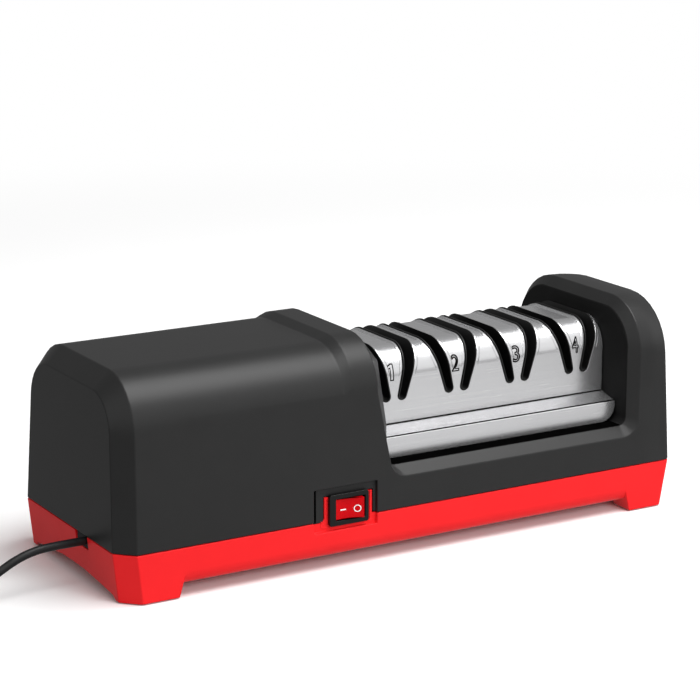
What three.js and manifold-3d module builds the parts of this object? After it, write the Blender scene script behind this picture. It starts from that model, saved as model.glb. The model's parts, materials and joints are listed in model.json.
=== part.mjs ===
// Electric knife sharpener with four stages, as an assembly of separate pieces.
// Millimetres, +Z up, front towards -Y, standing on z = 0.
// The origin is under the middle of the base.

import * as THREE from 'three';
import { mergeVertices } from 'three/addons/utils/BufferGeometryUtils.js';
import Module from 'manifold-3d';

const wasm = await Module();
wasm.setup();

// Driving dimensions of the whole appliance

const bodyDepth = 111.2;
const splitHeight = 23.4;
const wall = 2.6;
const fit = 0.3;
const overrun = 5;
const weld = 0.0001;
const degree = Math.PI / 180;

// Upper housing

const frontRadius = 25;
const rearRadius = 29;
const rearLean = 8.8 * degree;
const shoulderSteps = 8;
const endChamfer = 8.2;
const endRadius = 3;
const domeDrop = 1.2;
const domeLean = 4.8 * degree;
const domeRearLean = 11.5 * degree;
const domeRadius = 29;
const motorHeadroom = 24.3;
const collarRise = 2.5;
const collarWidth = 20.2;
const collarRamp = 10;

// Bay in the housing that takes the cover, and its bevelled rim

const floorDrop = 8.5;
const endBlock = 23;
const bayBevel = 4.9;
const bayCorner = 9;
const bayCornerSteps = 4;
const collarBevel = 7.7;
const collarBevelFoot = 0.7;
const spindleSlot = 10;

// Steel guide cover

const stageCount = 4;
const stagePitch = 34.9;
const coverEnd = 15.65;
const coverDrop = 12.4;
const coverHalfDepth = 28.1;
const coverRadius = 13.5;
const coverSheet = 1;
const coverSteps = 5;
const ledgeDepth = 11.3;
const flangeHeight = 8.6;
const ledgeRadius = 2.5;
const ledgeSlope = 12.8 * degree;
const flangeCorner = 8;
const rimHeight = 0.6;
const rimWidth = 1.5;

// Knife slots: the left edge of a slot leans less than its right edge, mirrored in each stage

const slotDip = 2;
const slotOffset = 4.4;
const slotRadius = 2.5;
const slotInnerLean = 11.8 * degree;
const slotOuterLean = 17.7 * degree;
const slotSteps = 5;

// Knife guides

const guideDrop = 9;
const guideLip = 0.5;
const guideProud = 0.5;

// Spindle with its grinding discs, on an axis along X

const axisY = -3.2;
const spindleRadius = 4;
const spindleStub = 16;
const spindleTail = 5.5;
const shoulderLength = 3;
const shoulderRadius = 6.5;
const clipRadius = 7;
const clipWidth = 1;
const clipMouth = 5;
const discRadius = 20;
const discThickness = 3.2;
const discInset = 2;
const discRun = 1.5;
const springSeatRadius = 9;
const springSeatDepth = 1.6;
const gritInnerRadius = 10.5;
const gritStep = 0.6;
const springRadius = 7.3;
const springWire = 0.6;
const springCurls = 2.5;
const springSteps = 8;
const springSides = 5;

// Bearings, their posts and caps

const bearingRadius = 8;
const bearingWidth = 5;
const bearingInset = 11.2;
const bearingOffset = 10.7;
const postLength = 8;
const postHalfDepth = 11;
const capHeight = 11;

// Motor

const motorRadius = 26;
const motorLength = 72;
const cordRoom = 20.8;
const driveRoom = 45.2;
const motorSides = 24;
const motorSheet = 1.6;
const motorShaftRadius = 3;
const motorMouthRadius = 7;
const bellThickness = 4;
const bellBossRadius = 8;
const magnetThickness = 5;
const magnetLength = 46;
const airGap = 1;
const rotorLength = 40;
const rotorSlots = 5;
const rotorSlotShare = 0.16;
const rotorCoreShare = 0.5;
const commutatorRadius = 7;
const commutatorLength = 9;
const commutatorCut = 0.6;
const couplingRadius = 9;
const couplingLength = 20;
const couplingGap = 0.6;

// Motor seat and strap

const cradleInset = 14;
const cradleThickness = 3;
const cradleHalfDepth = 30;
const wirePassWidth = 8;
const wirePassHeight = 17;
const wirePassY = -8;
const strapWidth = 12;
const strapThickness = 1.7;
const strapReach = 34;
const strapBossRadius = 4.5;

// Screws

const screwShank = 1.7;
const screwHead = 3.4;
const screwHeadHeight = 2;
const screwDepth = 10;
const screwBore = 2;
const caseScrewLeft = 14.8;
const caseScrewRight = 10.8;
const caseScrewY = 38;
const caseBossRadius = 5.5;
const caseBossLeft = 1.6;

// Base

const footGap = 5.8;
const baseFloor = 2.6;
const skirtTuck = 5;
const skirtRise = 12.5;
const skirtSteps = 5;
const baseTaper = 2.5;
const padProud = 0.5;
const padHeight = 2;
const padDepth = 6;
const padInset = 2.8;
const leftFoot = 28.5;
const rightFoot = 22.4;
const footRake = 3.1;
const footDepth = 11.6;
const archShares = [[1, 0], [0.955, 0.33], [0.64, 0.64], [0.27, 0.93], [0, 0.97]];

// Rocker switch in the front

const switchGap = 22.9;
const switchRise = 4.5;
const bezelLength = 21;
const bezelHeight = 15;
const bezelThickness = 1.8;
const bezelSide = 1.9;
const bezelCorner = 1.2;
const recessBefore = 16.9;
const recessAfter = 14.3;
const recessBelow = 9.6;
const recessAbove = 10.8;
const recessDepth = 2;
const recessSlope = 3.5;
const recessRise = 1.9;
const recessCorner = 1.5;
const tabThickness = 2.4;
const switchBodyDepth = 17;
const switchBodyInset = 1.2;
const rockerDepth = 3.6;
const rockerDish = 3.5;
const rockerHalf = 7.6;
const rockerHeight = 9.8;
const rockerTilt = 10 * degree;
const rockerPin = 1.2;
const rockerPinLength = 1;
const rockerBack = 3.6;
const terminalSpacing = 10;
const terminalLength = 8;
const terminalWidth = 4.8;
const terminalThickness = 0.8;

// Circuit board

const boardLength = 36;
const boardDepth = 30;
const boardThickness = 1.6;
const boardRise = 5.6;
const motorGap = 2.7;
const boardPostRadius = 2.2;
const boardPostInset = 3;
const capacitorRadius = 4;
const capacitorLength = 14;
const rectifierSize = 7;
const relaySize = 9;

// Power cord, its bush and the wires inside

const cordRadius = 1.9;
const cordY = -17.6;
const cordSides = 8;
const notchFront = -20;
const notchRear = -7.6;
const notchDrop = 6.4;
const cordDrop = 2.5;
const bushRecess = 0.9;
const bushLength = 8.5;
const bushFlange = 1.6;
const wireRadius = 0.9;
const wireSides = 5;
const wireGap = 0.4;

// Put-away coil of the cord, its tie and the plug

const coilX = -246;
const coilInner = 16.4;
const coilGap = 1.05;
const coilTurns = 2.75;
const coilSteps = 24;
const coilSides = 6;
const tieThickness = 0.6;
const tieWidth = 4;
const tieLock = 2.4;
const plugX = -300;
const plugY = 17.3;
const plugLength = 34;
const plugWidth = 35.3;
const plugHeight = 13.7;
const plugCorner = 6;
const plugWaistShare = 0.62;
const sleeveLength = 12;
const sleeveRadius = 3.6;
const pinSpacing = 18.6;
const pinRadius = 2;
const pinLength = 19;
const pinHole = 3;

// Sizes that follow from the ones above

const coverLength = (stageCount - 1) * stagePitch + 2 * coverEnd;
const bodyLength = cordRoom + motorLength + driveRoom + coverLength + 2 * fit + endBlock;
const halfLength = bodyLength / 2;
const halfDepth = bodyDepth / 2;
const housingFoot = splitHeight + fit / 2;
const baseTop = splitHeight - fit / 2;
const floorTop = footGap + baseFloor;
const boardHeight = floorTop + boardRise;
const axisHeight = boardHeight + boardThickness + 2 * capacitorRadius - fit + motorGap + motorRadius;
const motorTop = axisHeight + motorRadius + motorHeadroom;
const bayTop = motorTop + collarRise;
const bayFloor = axisHeight - floorDrop;
const coverTop = bayTop - coverDrop;
const ledgeFoot = bayFloor + flangeHeight;
const slotFoot = axisHeight + discRadius - slotDip;
const guideFoot = slotFoot - guideDrop;
const motorLeft = cordRoom - halfLength;
const motorRight = motorLeft + motorLength;
const motorMiddle = (motorLeft + motorRight) / 2;
const bayLeft = motorRight + driveRoom;
const coverMiddle = bayLeft + fit + coverLength / 2;
const bayRight = coverMiddle + coverLength / 2 + fit;
const collarX = bayLeft - collarWidth;
const bayRimFoot = bayFloor - bayBevel + bayCorner;
const rimTop = bayTop - frontRadius;
const channelShrink = fit + guideLip;
const switchX = bayLeft - switchGap;
const switchHeight = splitHeight + switchRise;
const recessLeft = switchX - recessBefore;
const recessRight = switchX + recessAfter;
const recessFoot = switchHeight - recessBelow;
const recessTop = switchHeight + recessAbove;
const tabFront = -halfDepth + recessDepth;
const bezelFront = tabFront - fit - bezelThickness;
const rockerY = bezelFront + rockerDepth;
const switchBack = tabFront + switchBodyDepth;
const strapPlaces = [axisY - strapReach, axisY + strapReach];
const cradleX = [motorLeft + cradleInset, motorRight - cradleInset];
const bearingPlaces = [bayLeft - bearingInset, bayRight + bearingOffset];
const spindleLeft = bearingPlaces[0] - spindleStub;
const spindleRight = bearingPlaces[1] + spindleTail;
const caseScrewX = [caseScrewLeft - halfLength, halfLength - caseScrewRight];
const motorShaftEnd = spindleLeft - couplingGap;
const discOuter = discInset + discThickness;
const tieGap = tieThickness + fit;
const notchFoot = splitHeight - notchDrop;
const bushWall = -halfLength + baseTaper + wall + fit;
const coilPitch = 2 * cordRadius + coilGap;
const coilOuter = coilInner + coilPitch * coilTurns;
const coilY = cordY + coilOuter;
const coilHeight = tieGap + cordRadius;
const wireStart = -halfLength + bushRecess + bushLength + wireGap + fit;
const terminalEnd = switchBack + fit + terminalLength;
const stageX = Array.from({ length: stageCount }, (_, i) => {
  return coverMiddle + (i - (stageCount - 1) / 2) * stagePitch;
});

// Routes chosen by hand, from the bush to the coil, from the coil to the plug, and inside the base

const leadRoute = [
  [-148.2, -17.6, 20.9],
  [-156, -17.6, 20.9],
  [-164, -17.6, 20.8],
  [-172, -17.6, 20.2],
  [-180, -17.6, 18.1],
  [-188, -17.6, 14.4],
  [-196, -17.6, 9.8],
  [-204, -17.6, 6.1],
  [-213, -17.6, 3.8],
  [-223, -17.6, 2.9],
  [-232, -17.6, 2.8],
  [-241.9, -17.6, 2.8],
];
const tailRoute = [
  [-250.1, -17.6, 7.65],
  [-258, -17.6, 7.1],
  [-267, -17.4, 5.5],
  [-277, -15.2, 3.8],
  [-287, -10.6, 2.9],
  [-294.6, -3.4, 3.2],
  [-298.6, 4, 4.8],
  [-300, 11, 6.6],
  [-300, 17, 6.85],
];
const bushStart = [wireStart, cordY, splitHeight - cordDrop];
const frontWall = [motorMiddle, -halfDepth, floorTop];
const liveEnd = [switchX - terminalSpacing / 2, terminalEnd, switchHeight];
const switchedEnd = [switchX + terminalSpacing / 2, terminalEnd, switchHeight];
const boardLeft = [motorMiddle - boardLength / 2, wirePassY, boardHeight + boardThickness / 2];
const boardRight = [motorMiddle + boardLength / 2, wirePassY, boardHeight + boardThickness / 2];
const liveRoute = [
  ...from(bushStart, [[0, -1.4, 0], [8.7, -6.4, -4.9], [16.7, -18.4, -8.9]]),
  ...from(frontWall, [[-18, 9.6, 2.6], [7, 8.6, 2.6], [32, 9.6, 2.6]]),
  ...from(liveEnd, [[-12.3, -7.7, -15.9], [-6.3, 6.3, -10.9], [-0.8, 11.3, -3.9], [0, 7.3, 0], [0, wireGap, 0]]),
];
const switchedRoute = [
  ...from(switchedEnd, [[0, wireGap, 0], [0, 6.3, -0.4], [-4.3, 13.3, -6.9], [-16.3, 18.3, -12.9]]),
  ...from(boardRight, [[12, 0, 0], [wireGap, 0, 0]]),
];
const neutralRoute = [
  ...from(bushStart, [[0, 3.6, 0], [7.7, 7.6, -3.9]]),
  ...from(boardLeft, [[-12, 0, 0], [-wireGap, 0, 0]]),
];

const materials = {
  black: finish(0x323232, 0.45, 0),
  guide: finish(0x141414, 0.35, 0),
  red: finish(0xe02028, 0.25, 0),
  steel: finish(0xc9c9c9, 0.28, 1),
  zinc: finish(0xa8abb0, 0.4, 1),
  brass: finish(0xc8a24a, 0.35, 1),
  copper: finish(0xb8693a, 0.4, 1),
  ferrite: finish(0x2c2b2d, 0.8, 0),
  rubber: finish(0x1a1a1a, 0.85, 0),
  cord: finish(0x111111, 0.4, 0),
  grit: finish(0x8f8a80, 0.9, 0.3),
  polish: finish(0x6e3b2c, 0.9, 0),
  board: finish(0xb08d57, 0.6, 0),
  brown: finish(0x6b3f22, 0.5, 0),
  blue: finish(0x2b5fa8, 0.5, 0),
};

// Points at their offsets from one anchor

function from(anchor, offsets) {
  return offsets.map((offset) => offset.map((value, i) => anchor[i] + value));
}

const sharpener = new THREE.Group();
sharpener.name = 'electric_knife_sharpener';

function finish(color, roughness, metalness) {
  return new THREE.MeshStandardMaterial({ color, roughness, metalness });
}

// Closed geometry becomes a solid with its faces pointing out

function solid(geometry) {
  const bare = geometry.clone();
  bare.deleteAttribute('normal');
  bare.deleteAttribute('uv');
  const merged = mergeVertices(bare, weld);
  const vertProperties = new Float32Array(merged.attributes.position.array);
  const index = merged.index.array;
  const corners = [];
  for (let i = 0; i < index.length; i += 3) {
    const [a, b, c] = index.slice(i, i + 3);
    if (a !== b && b !== c && c !== a) {
      corners.push(a, b, c);
    }
  }
  const turned = signedVolume(vertProperties, corners) < 0 ? corners.reverse() : corners;
  const triVerts = new Uint32Array(turned);
  return new wasm.Manifold(new wasm.Mesh({ numProp: 3, vertProperties, triVerts }));
}

function signedVolume(positions, corners) {
  const point = (i) => new THREE.Vector3().fromArray(positions, 3 * i);
  let sum = 0;
  for (let i = 0; i < corners.length; i += 3) {
    const [a, b, c] = corners.slice(i, i + 3).map(point);
    sum += a.dot(b.cross(c)) / 6;
  }
  return sum;
}

function geometryOf(manifold) {
  const mesh = manifold.getMesh();
  const geometry = new THREE.BufferGeometry();
  geometry.setAttribute('position', new THREE.BufferAttribute(new Float32Array(mesh.vertProperties), 3));
  geometry.setIndex(new THREE.BufferAttribute(new Uint32Array(mesh.triVerts), 1));
  geometry.computeVertexNormals();
  return geometry;
}

function join(...pieces) {
  return pieces.reduce((whole, piece) => whole.add(piece));
}

function cut(whole, ...tools) {
  return tools.reduce((rest, tool) => rest.subtract(tool), whole);
}

function add(name, shape, material, place = [0, 0, 0], parent = sharpener) {
  const mesh = new THREE.Mesh(geometryOf(shape), material);
  mesh.name = name;
  mesh.position.set(...place);
  parent.add(mesh);
  return mesh;
}

// Outlines as lists of [across, up]

function arc(cx, cy, radius, from, to, steps) {
  return Array.from({ length: steps + 1 }, (_, i) => {
    const angle = from + ((to - from) * i) / steps;
    return [cx + radius * Math.cos(angle), cy + radius * Math.sin(angle)];
  });
}

function roundedBox(x, y, corner, steps = 3) {
  const right = Math.PI / 2;
  return [
    ...arc(x[1] - corner, y[1] - corner, corner, 0, right, steps),
    ...arc(x[0] + corner, y[1] - corner, corner, right, 2 * right, steps),
    ...arc(x[0] + corner, y[0] + corner, corner, 2 * right, 3 * right, steps),
    ...arc(x[1] - corner, y[0] + corner, corner, 3 * right, 4 * right, steps),
  ];
}

// Outlines drawn out along one axis

const axes = {
  x: [[0, 1, 0], [0, 0, 1], [1, 0, 0]],
  y: [[1, 0, 0], [0, 0, 1], [0, -1, 0]],
  z: [[1, 0, 0], [0, 1, 0], [0, 0, 1]],
};

function prism(axis, outline, from, to) {
  const shape = new THREE.Shape(outline.map(([across, up]) => new THREE.Vector2(across, up)));
  const geometry = new THREE.ExtrudeGeometry(shape, { depth: to - from, bevelEnabled: false });
  const basis = axes[axis].map((direction) => new THREE.Vector3(...direction));
  geometry.applyMatrix4(new THREE.Matrix4().makeBasis(...basis));
  const start = axis === 'y' ? -to : from;
  geometry.translate(...basis[2].multiplyScalar(start).toArray());
  return solid(geometry);
}

function block(x, y, z) {
  const geometry = new THREE.BoxGeometry(x[1] - x[0], y[1] - y[0], z[1] - z[0]);
  geometry.translate((x[0] + x[1]) / 2, (y[0] + y[1]) / 2, (z[0] + z[1]) / 2);
  return solid(geometry);
}

function rod(axis, radius, from, to, across, up, sides = 20) {
  return prism(axis, arc(across, up, radius, 0, 2 * Math.PI, sides).slice(1), from, to);
}

// Closed profile of [x, radius] corners turned about the X axis

function turned(profile, sides = 18) {
  const points = [...profile, profile[0]].map(([x, radius]) => new THREE.Vector2(radius, x));
  const geometry = new THREE.LatheGeometry(points, sides);
  geometry.rotateZ(-Math.PI / 2);
  return solid(geometry);
}

function washer(from, to, bore, radius, sides = 18) {
  return turned([[from, bore], [to, bore], [to, radius], [from, radius]], sides);
}

// Skin through rings of equal count: lids at both ends, or the last ring joined to the first

function loft(rings, flat) {
  const count = rings[0].length;
  const index = [];
  const closed = flat === undefined;
  for (let r = 0; r < (closed ? rings.length : rings.length - 1); r += 1) {
    const near = r * count;
    const far = ((r + 1) % rings.length) * count;
    for (let i = 0; i < count; i += 1) {
      const j = (i + 1) % count;
      index.push(near + i, near + j, far + j, near + i, far + j, far + i);
    }
  }
  if (!closed) {
    index.push(...lid(rings[0].map(flat), 0, false));
    index.push(...lid(rings[rings.length - 1].map(flat), (rings.length - 1) * count, true));
  }
  const geometry = new THREE.BufferGeometry();
  geometry.setAttribute('position', new THREE.Float32BufferAttribute(rings.flat(2), 3));
  geometry.setIndex(index);
  return solid(geometry);
}

function lid(outline, start, alongRing) {
  const points = outline.map(([across, up]) => new THREE.Vector2(across, up));
  const ringTurn = Math.sign(THREE.ShapeUtils.area(points));
  return THREE.ShapeUtils.triangulateShape(points, []).flatMap(([a, b, c]) => {
    const faceTurn = Math.sign(THREE.ShapeUtils.area([points[a], points[b], points[c]]));
    const keep = (faceTurn === ringTurn) === alongRing;
    return keep ? [start + a, start + b, start + c] : [start + a, start + c, start + b];
  });
}

// Cord or wire: a round section drawn out along a smooth curve

function tube(route, radius, sides, steps) {
  const path = new THREE.CatmullRomCurve3(route.map((point) => new THREE.Vector3(...point)));
  const circle = arc(0, 0, radius, 0, 2 * Math.PI, sides).slice(1);
  const section = new THREE.Shape(circle.map(([x, y]) => new THREE.Vector2(x, y)));
  return solid(new THREE.ExtrudeGeometry(section, { steps, extrudePath: path, bevelEnabled: false }));
}

// Section of the housing across X: walls that may lean in, rounded into a flat top

const motorSection = { top: motorTop, lean: 0, rearLean, radius: frontRadius, rearRadius };
const baySection = { ...motorSection, top: bayTop };
const domeSection = {
  top: bayTop - domeDrop,
  lean: domeLean,
  rearLean: domeRearLean,
  radius: domeRadius,
  rearRadius: domeRadius,
};

function mixed(from, to, share) {
  const between = (key) => from[key] + (to[key] - from[key]) * share;
  return Object.fromEntries(Object.keys(from).map((key) => [key, between(key)]));
}

function wallPoint(side, lean, z, inset) {
  const y = halfDepth - inset / Math.cos(lean) - (z - splitHeight) * Math.tan(lean);
  return [side * y, z];
}

function shoulder(side, section, inset) {
  const lean = side < 0 ? section.lean : section.rearLean;
  const radius = side < 0 ? section.radius : section.rearRadius;
  const centreZ = section.top - radius;
  const centreY = halfDepth - (radius + (centreZ - splitHeight) * Math.sin(lean)) / Math.cos(lean);
  const points = arc(centreY, centreZ, radius - inset, lean, Math.PI / 2, shoulderSteps);
  return points.map(([y, z]) => [side * y, z]);
}

function housingOutline(section, inset, foot) {
  return [
    wallPoint(-1, section.lean, foot, inset),
    ...shoulder(-1, section, inset),
    ...shoulder(1, section, inset).reverse(),
    wallPoint(1, section.rearLean, foot, inset),
  ];
}

function housingRing(x, section, inset, foot = housingFoot) {
  return housingOutline(section, inset, foot).map(([y, z]) => [x, y, z]);
}

const acrossX = ([, y, z]) => [y, z];

function housingSkin() {
  const domeStart = bayRight + bayBevel;
  const domeEnd = halfLength - endRadius;
  const swell = [0, 0.4, 0.7, 1].map((share) => {
    const x = domeStart + (domeEnd - domeStart) * share;
    return housingRing(x, mixed(baySection, domeSection, share * share), 0);
  });
  const edge = [1, 2, 3].map((step) => {
    const angle = (step * Math.PI) / 6;
    const x = domeEnd + endRadius * Math.sin(angle);
    return housingRing(x, domeSection, endRadius * (1 - Math.cos(angle)));
  });
  return loft([
    housingRing(-halfLength, motorSection, endChamfer),
    housingRing(-halfLength + endChamfer, motorSection, 0),
    housingRing(collarX - collarRamp, motorSection, 0),
    housingRing(collarX, baySection, 0),
    ...swell,
    ...edge,
  ], acrossX);
}

// Hollow of the housing, open at its foot, which keeps the wall behind chamfers and bevels

function housingHollow() {
  const foot = housingFoot - overrun;
  const corner = wall * (Math.SQRT2 - 1);
  const rise = bayBevel / collarBevel;
  const behind = wall * Math.hypot(1, rise);
  const rimX = bayLeft - collarBevel;
  const motorRoom = loft([
    housingRing(-halfLength + wall, motorSection, endChamfer + corner, foot),
    housingRing(-halfLength + endChamfer + corner, motorSection, wall, foot),
    housingRing(collarX - collarRamp, motorSection, wall, foot),
    housingRing(collarX, baySection, wall, foot),
    housingRing(rimX + (wall - behind) / rise, baySection, wall, foot),
    housingRing(bayLeft - wall, baySection, (bayLeft - wall - rimX) * rise + behind, foot),
  ], acrossX);
  const endRoom = loft([
    housingRing(bayRight + wall, baySection, bayBevel + corner, foot),
    housingRing(bayRight + bayBevel + corner, baySection, wall, foot),
    housingRing(halfLength - wall, domeSection, wall + endRadius / 2, foot),
  ], acrossX);
  const ceiling = bayFloor - wall;
  const bend = bayFloor - bayBevel - corner;
  const underFloor = [
    wallPoint(-1, 0, foot, wall),
    wallPoint(-1, 0, bend, wall),
    wallPoint(-1, 0, ceiling, wall + ceiling - bend),
    wallPoint(1, rearLean, ceiling, wall + ceiling - bend),
    wallPoint(1, rearLean, bend, wall),
    wallPoint(1, rearLean, foot, wall),
  ];
  return join(motorRoom, endRoom, prism('x', underFloor, bayLeft - 2 * wall, bayRight + 2 * wall));
}

// Pocket for the cover, with the slot for the spindle and the window for the discs

function bayPocket() {
  const corner = bayCorner - bayBevel;
  const top = bayTop + overrun;
  const outline = roundedBox([bayLeft, bayRight], [bayFloor, top + corner], corner, bayCornerSteps);
  const pocket = prism('y', outline, -halfDepth - overrun, halfDepth + overrun);
  const reach = [bayLeft - wall - overrun, bayRight + wall + overrun];
  const slotRadiusX = spindleSlot / 2;
  const slot = join(
    rod('x', slotRadiusX, ...reach, axisY, axisHeight),
    block(reach, [axisY - slotRadiusX, axisY + slotRadiusX], [splitHeight, axisHeight]),
  );
  const windowReach = discOuter + discRun;
  const half = discRadius + discRun;
  const window = block(
    [stageX[0] - windowReach, stageX[stageCount - 1] + windowReach],
    [axisY - half, axisY + half],
    [bayFloor - wall - overrun, bayFloor + overrun],
  );
  return join(pocket, slot, window);
}

// Bevelled rim of the bay, swept once round: up the right side, over the top, down and along the rear,
// and back the same way on the left. Each ring spans the bevel and opens out past the skin.

function rimRing(outer, inner, [across, up]) {
  const at = (point, inset, past = 0) => {
    const [y, z] = point.row(inset);
    return [point.x + across * past, y, z + up * past];
  };
  return [
    at(outer, 0),
    at(inner, bayBevel),
    at(inner, bayBevel, overrun),
    at(inner, -overrun, overrun),
    at(outer, -overrun),
  ];
}

function collarRimX(z) {
  const share = THREE.MathUtils.clamp((z - bayRimFoot) / (rimTop - bayRimFoot), 0, 1);
  return bayLeft - collarBevelFoot - (collarBevel - collarBevelFoot) * share;
}

function rimSide(right) {
  const outerX = (z) => (right ? bayRight + bayBevel : collarRimX(z));
  const innerX = right ? bayRight : bayLeft;
  const inward = [right ? -1 : 1, 0];
  const rows = [];
  for (const side of [-1, 1]) {
    const lean = side < 0 ? 0 : rearLean;
    const heights = [bayRimFoot, (bayRimFoot + rimTop) / 2];
    const straight = heights.map((z) => (inset) => wallPoint(side, lean, z, inset));
    const bend = shoulder(side, baySection, 0);
    const round = bend.map((_, i) => (inset) => shoulder(side, baySection, inset)[i]);
    const all = [...straight, ...round];
    rows.push(...(side < 0 ? all : all.reverse()));
  }
  const rings = rows.map((row) => {
    return rimRing({ x: outerX(row(0)[1]), row }, { x: innerX, row }, inward);
  });
  return right ? rings : rings.reverse();
}

function rimFoot(side, fromRight) {
  const lean = side < 0 ? 0 : rearLean;
  const innerCorner = bayCorner - bayBevel;
  const rings = [];
  for (const right of [true, false]) {
    const outerX = right ? bayRight + bayBevel - bayCorner : collarRimX(bayRimFoot) + bayCorner;
    const innerX = right ? bayRight - innerCorner : bayLeft + innerCorner;
    const turn = Array.from({ length: bayCornerSteps }, (_, i) => {
      const angle = ((i + (right ? 1 : 0)) * Math.PI) / 2 / bayCornerSteps;
      const across = right ? Math.cos(angle) : -Math.sin(angle);
      const up = right ? -Math.sin(angle) : -Math.cos(angle);
      const point = (x, radius) => {
        const z = bayRimFoot + radius * up;
        return { x: x + radius * across, row: (inset) => wallPoint(side, lean, z, inset) };
      };
      return rimRing(point(outerX, bayCorner), point(innerX, innerCorner), [-across, -up]);
    });
    rings.push(...turn);
  }
  return fromRight ? rings : rings.reverse();
}

function bayRim() {
  return loft([...rimSide(true), ...rimFoot(1, true), ...rimSide(false), ...rimFoot(-1, false)]);
}

// Recess round the switch, shared by the housing and the base

function switchRecess() {
  const outer = roundedBox([recessLeft, recessRight], [recessFoot, recessTop], recessCorner);
  const inner = roundedBox(...recessInner(), recessCorner / 2);
  const slope = loft([
    outer.map(([x, z]) => [x, -halfDepth, z]),
    inner.map(([x, z]) => [x, tabFront, z]),
  ], ([x, , z]) => [x, z]);
  return join(slope, prism('y', outer, -halfDepth - overrun, -halfDepth));
}

function recessInner() {
  return [
    [recessLeft + recessSlope, recessRight - recessSlope + recessRise - fit],
    [recessFoot + recessRise, recessTop - recessRise - fit],
  ];
}

function corners() {
  return caseScrewX.flatMap((x) => [-1, 1].map((side) => [x, side * caseScrewY]));
}

function bossRods(radius, from, to) {
  return corners().map(([x, y]) => rod('z', radius, from, to, x, y, 16));
}

function makeHousing() {
  const skin = housingSkin();
  const shell = cut(skin, housingHollow());
  const bosses = join(...bossRods(caseBossRadius - caseBossLeft / 2, housingFoot, bayTop)).intersect(skin);
  const [x, z] = recessInner();
  const tabHole = block(x, [tabFront - fit, tabFront + wall + overrun], [splitHeight - overrun, z[1]]);
  const screwHoles = bossRods(screwBore, housingFoot - overrun, housingFoot + screwDepth + fit);
  const housing = cut(join(shell, bosses), bayPocket(), bayRim(), switchRecess(), tabHole, ...screwHoles);
  add('housing', housing, materials.black);
}

// Guide cover: one folded sheet, the same in front and at the rear

function coverHalf(side, inset, raise, foot) {
  const flange = coverHalfDepth + ledgeDepth;
  const roll = arc(flange - ledgeRadius, ledgeFoot, ledgeRadius - inset, 0, Math.PI / 2 - ledgeSlope, 3);
  const [rollY, rollZ] = roll[roll.length - 1];
  const face = coverHalfDepth - inset;
  const crease = [face, rollZ + (rollY - face) * Math.tan(ledgeSlope)];
  const centreZ = coverTop - coverRadius + raise;
  const bend = arc(coverHalfDepth - coverRadius, centreZ, coverRadius - inset, 0, Math.PI / 2, coverSteps);
  return [[flange - inset, foot], ...roll, crease, ...bend].map(([y, z]) => [axisY + side * y, z]);
}

function coverOutline(inset, raise, foot) {
  return [...coverHalf(-1, inset, raise, foot), ...coverHalf(1, inset, raise, foot).reverse()];
}

// Outline of one slot seen from the front, grown or shrunk all round

function slotOutline(side, grow) {
  const radius = slotRadius + grow;
  const top = bayTop + overrun;
  const edge = (angle, lean) => {
    const x = slotOffset + radius * Math.cos(angle);
    const z = slotFoot + radius * Math.sin(angle);
    return [x + (top - z) * Math.tan(lean), top];
  };
  const from = Math.PI - slotInnerLean;
  const to = 2 * Math.PI - slotOuterLean;
  const bottom = arc(slotOffset, slotFoot, radius, from, to, slotSteps);
  return [edge(from, slotInnerLean), ...bottom, edge(to, slotOuterLean)].map(([x, z]) => [side * x, z]);
}

function slotTool(middle, side, grow) {
  const reach = coverHalfDepth + overrun;
  const outline = slotOutline(side, grow).map(([x, z]) => [middle + x, z]);
  return prism('y', outline, axisY - reach, axisY + reach);
}

function eachSlot(make) {
  return stageX.flatMap((middle) => [-1, 1].map((side) => make(middle, side)));
}

function makeCover() {
  const foot = bayFloor + fit;
  const ends = [coverMiddle - coverLength / 2, coverMiddle + coverLength / 2];
  const sheet = cut(
    prism('x', coverOutline(0, 0, foot), ...ends),
    prism('x', coverOutline(coverSheet, 0, foot - overrun), ends[0] - overrun, ends[1] + overrun),
  );
  const front = roundedBox(ends, [foot, coverTop + flangeCorner + overrun], flangeCorner);
  const depth = coverHalfDepth + ledgeDepth + overrun;
  const trimmed = sheet.intersect(prism('y', front, axisY - depth, axisY + depth));
  const raised = cut(
    prism('x', coverOutline(0, rimHeight, foot), ...ends),
    prism('x', coverOutline(coverSheet, 0, foot - overrun), ends[0] - overrun, ends[1] + overrun),
  );
  const rims = join(...eachSlot((middle, side) => slotTool(middle, side, rimWidth))).intersect(raised);
  const slots = eachSlot((middle, side) => slotTool(middle, side, 0));
  add('guide_cover', cut(join(trimmed, rims), ...slots), materials.steel);
}

// Knife guide: a block inside the cover whose lips stand up through the two slots of its stage

function makeGuides() {
  const half = coverLength / 2 - ((stageCount - 1) / 2) * stagePitch - coverSheet - fit;
  const above = block([-half, half], [-halfDepth, halfDepth], [guideFoot, bayTop]);
  const body = prism('x', coverOutline(coverSheet + fit, 0, bayFloor), -half, half).intersect(above);
  const outside = prism('x', coverOutline(-guideProud, rimHeight, bayFloor), -half, half).intersect(above);
  const lips = join(...[-1, 1].map((side) => slotTool(0, side, -fit))).intersect(outside);
  const channels = [-1, 1].map((side) => slotTool(0, side, -channelShrink));
  const room = rod('x', discRadius + discRun, -discOuter - fit, discOuter + fit, axisY, axisHeight, 24);
  const guide = cut(join(body, lips), ...channels, room);
  stageX.forEach((x, i) => add(`knife_guide_${i + 1}`, guide, materials.guide, [x, 0, 0]));
}

// Everything that turns with the spindle, about the X axis of its own group

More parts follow.
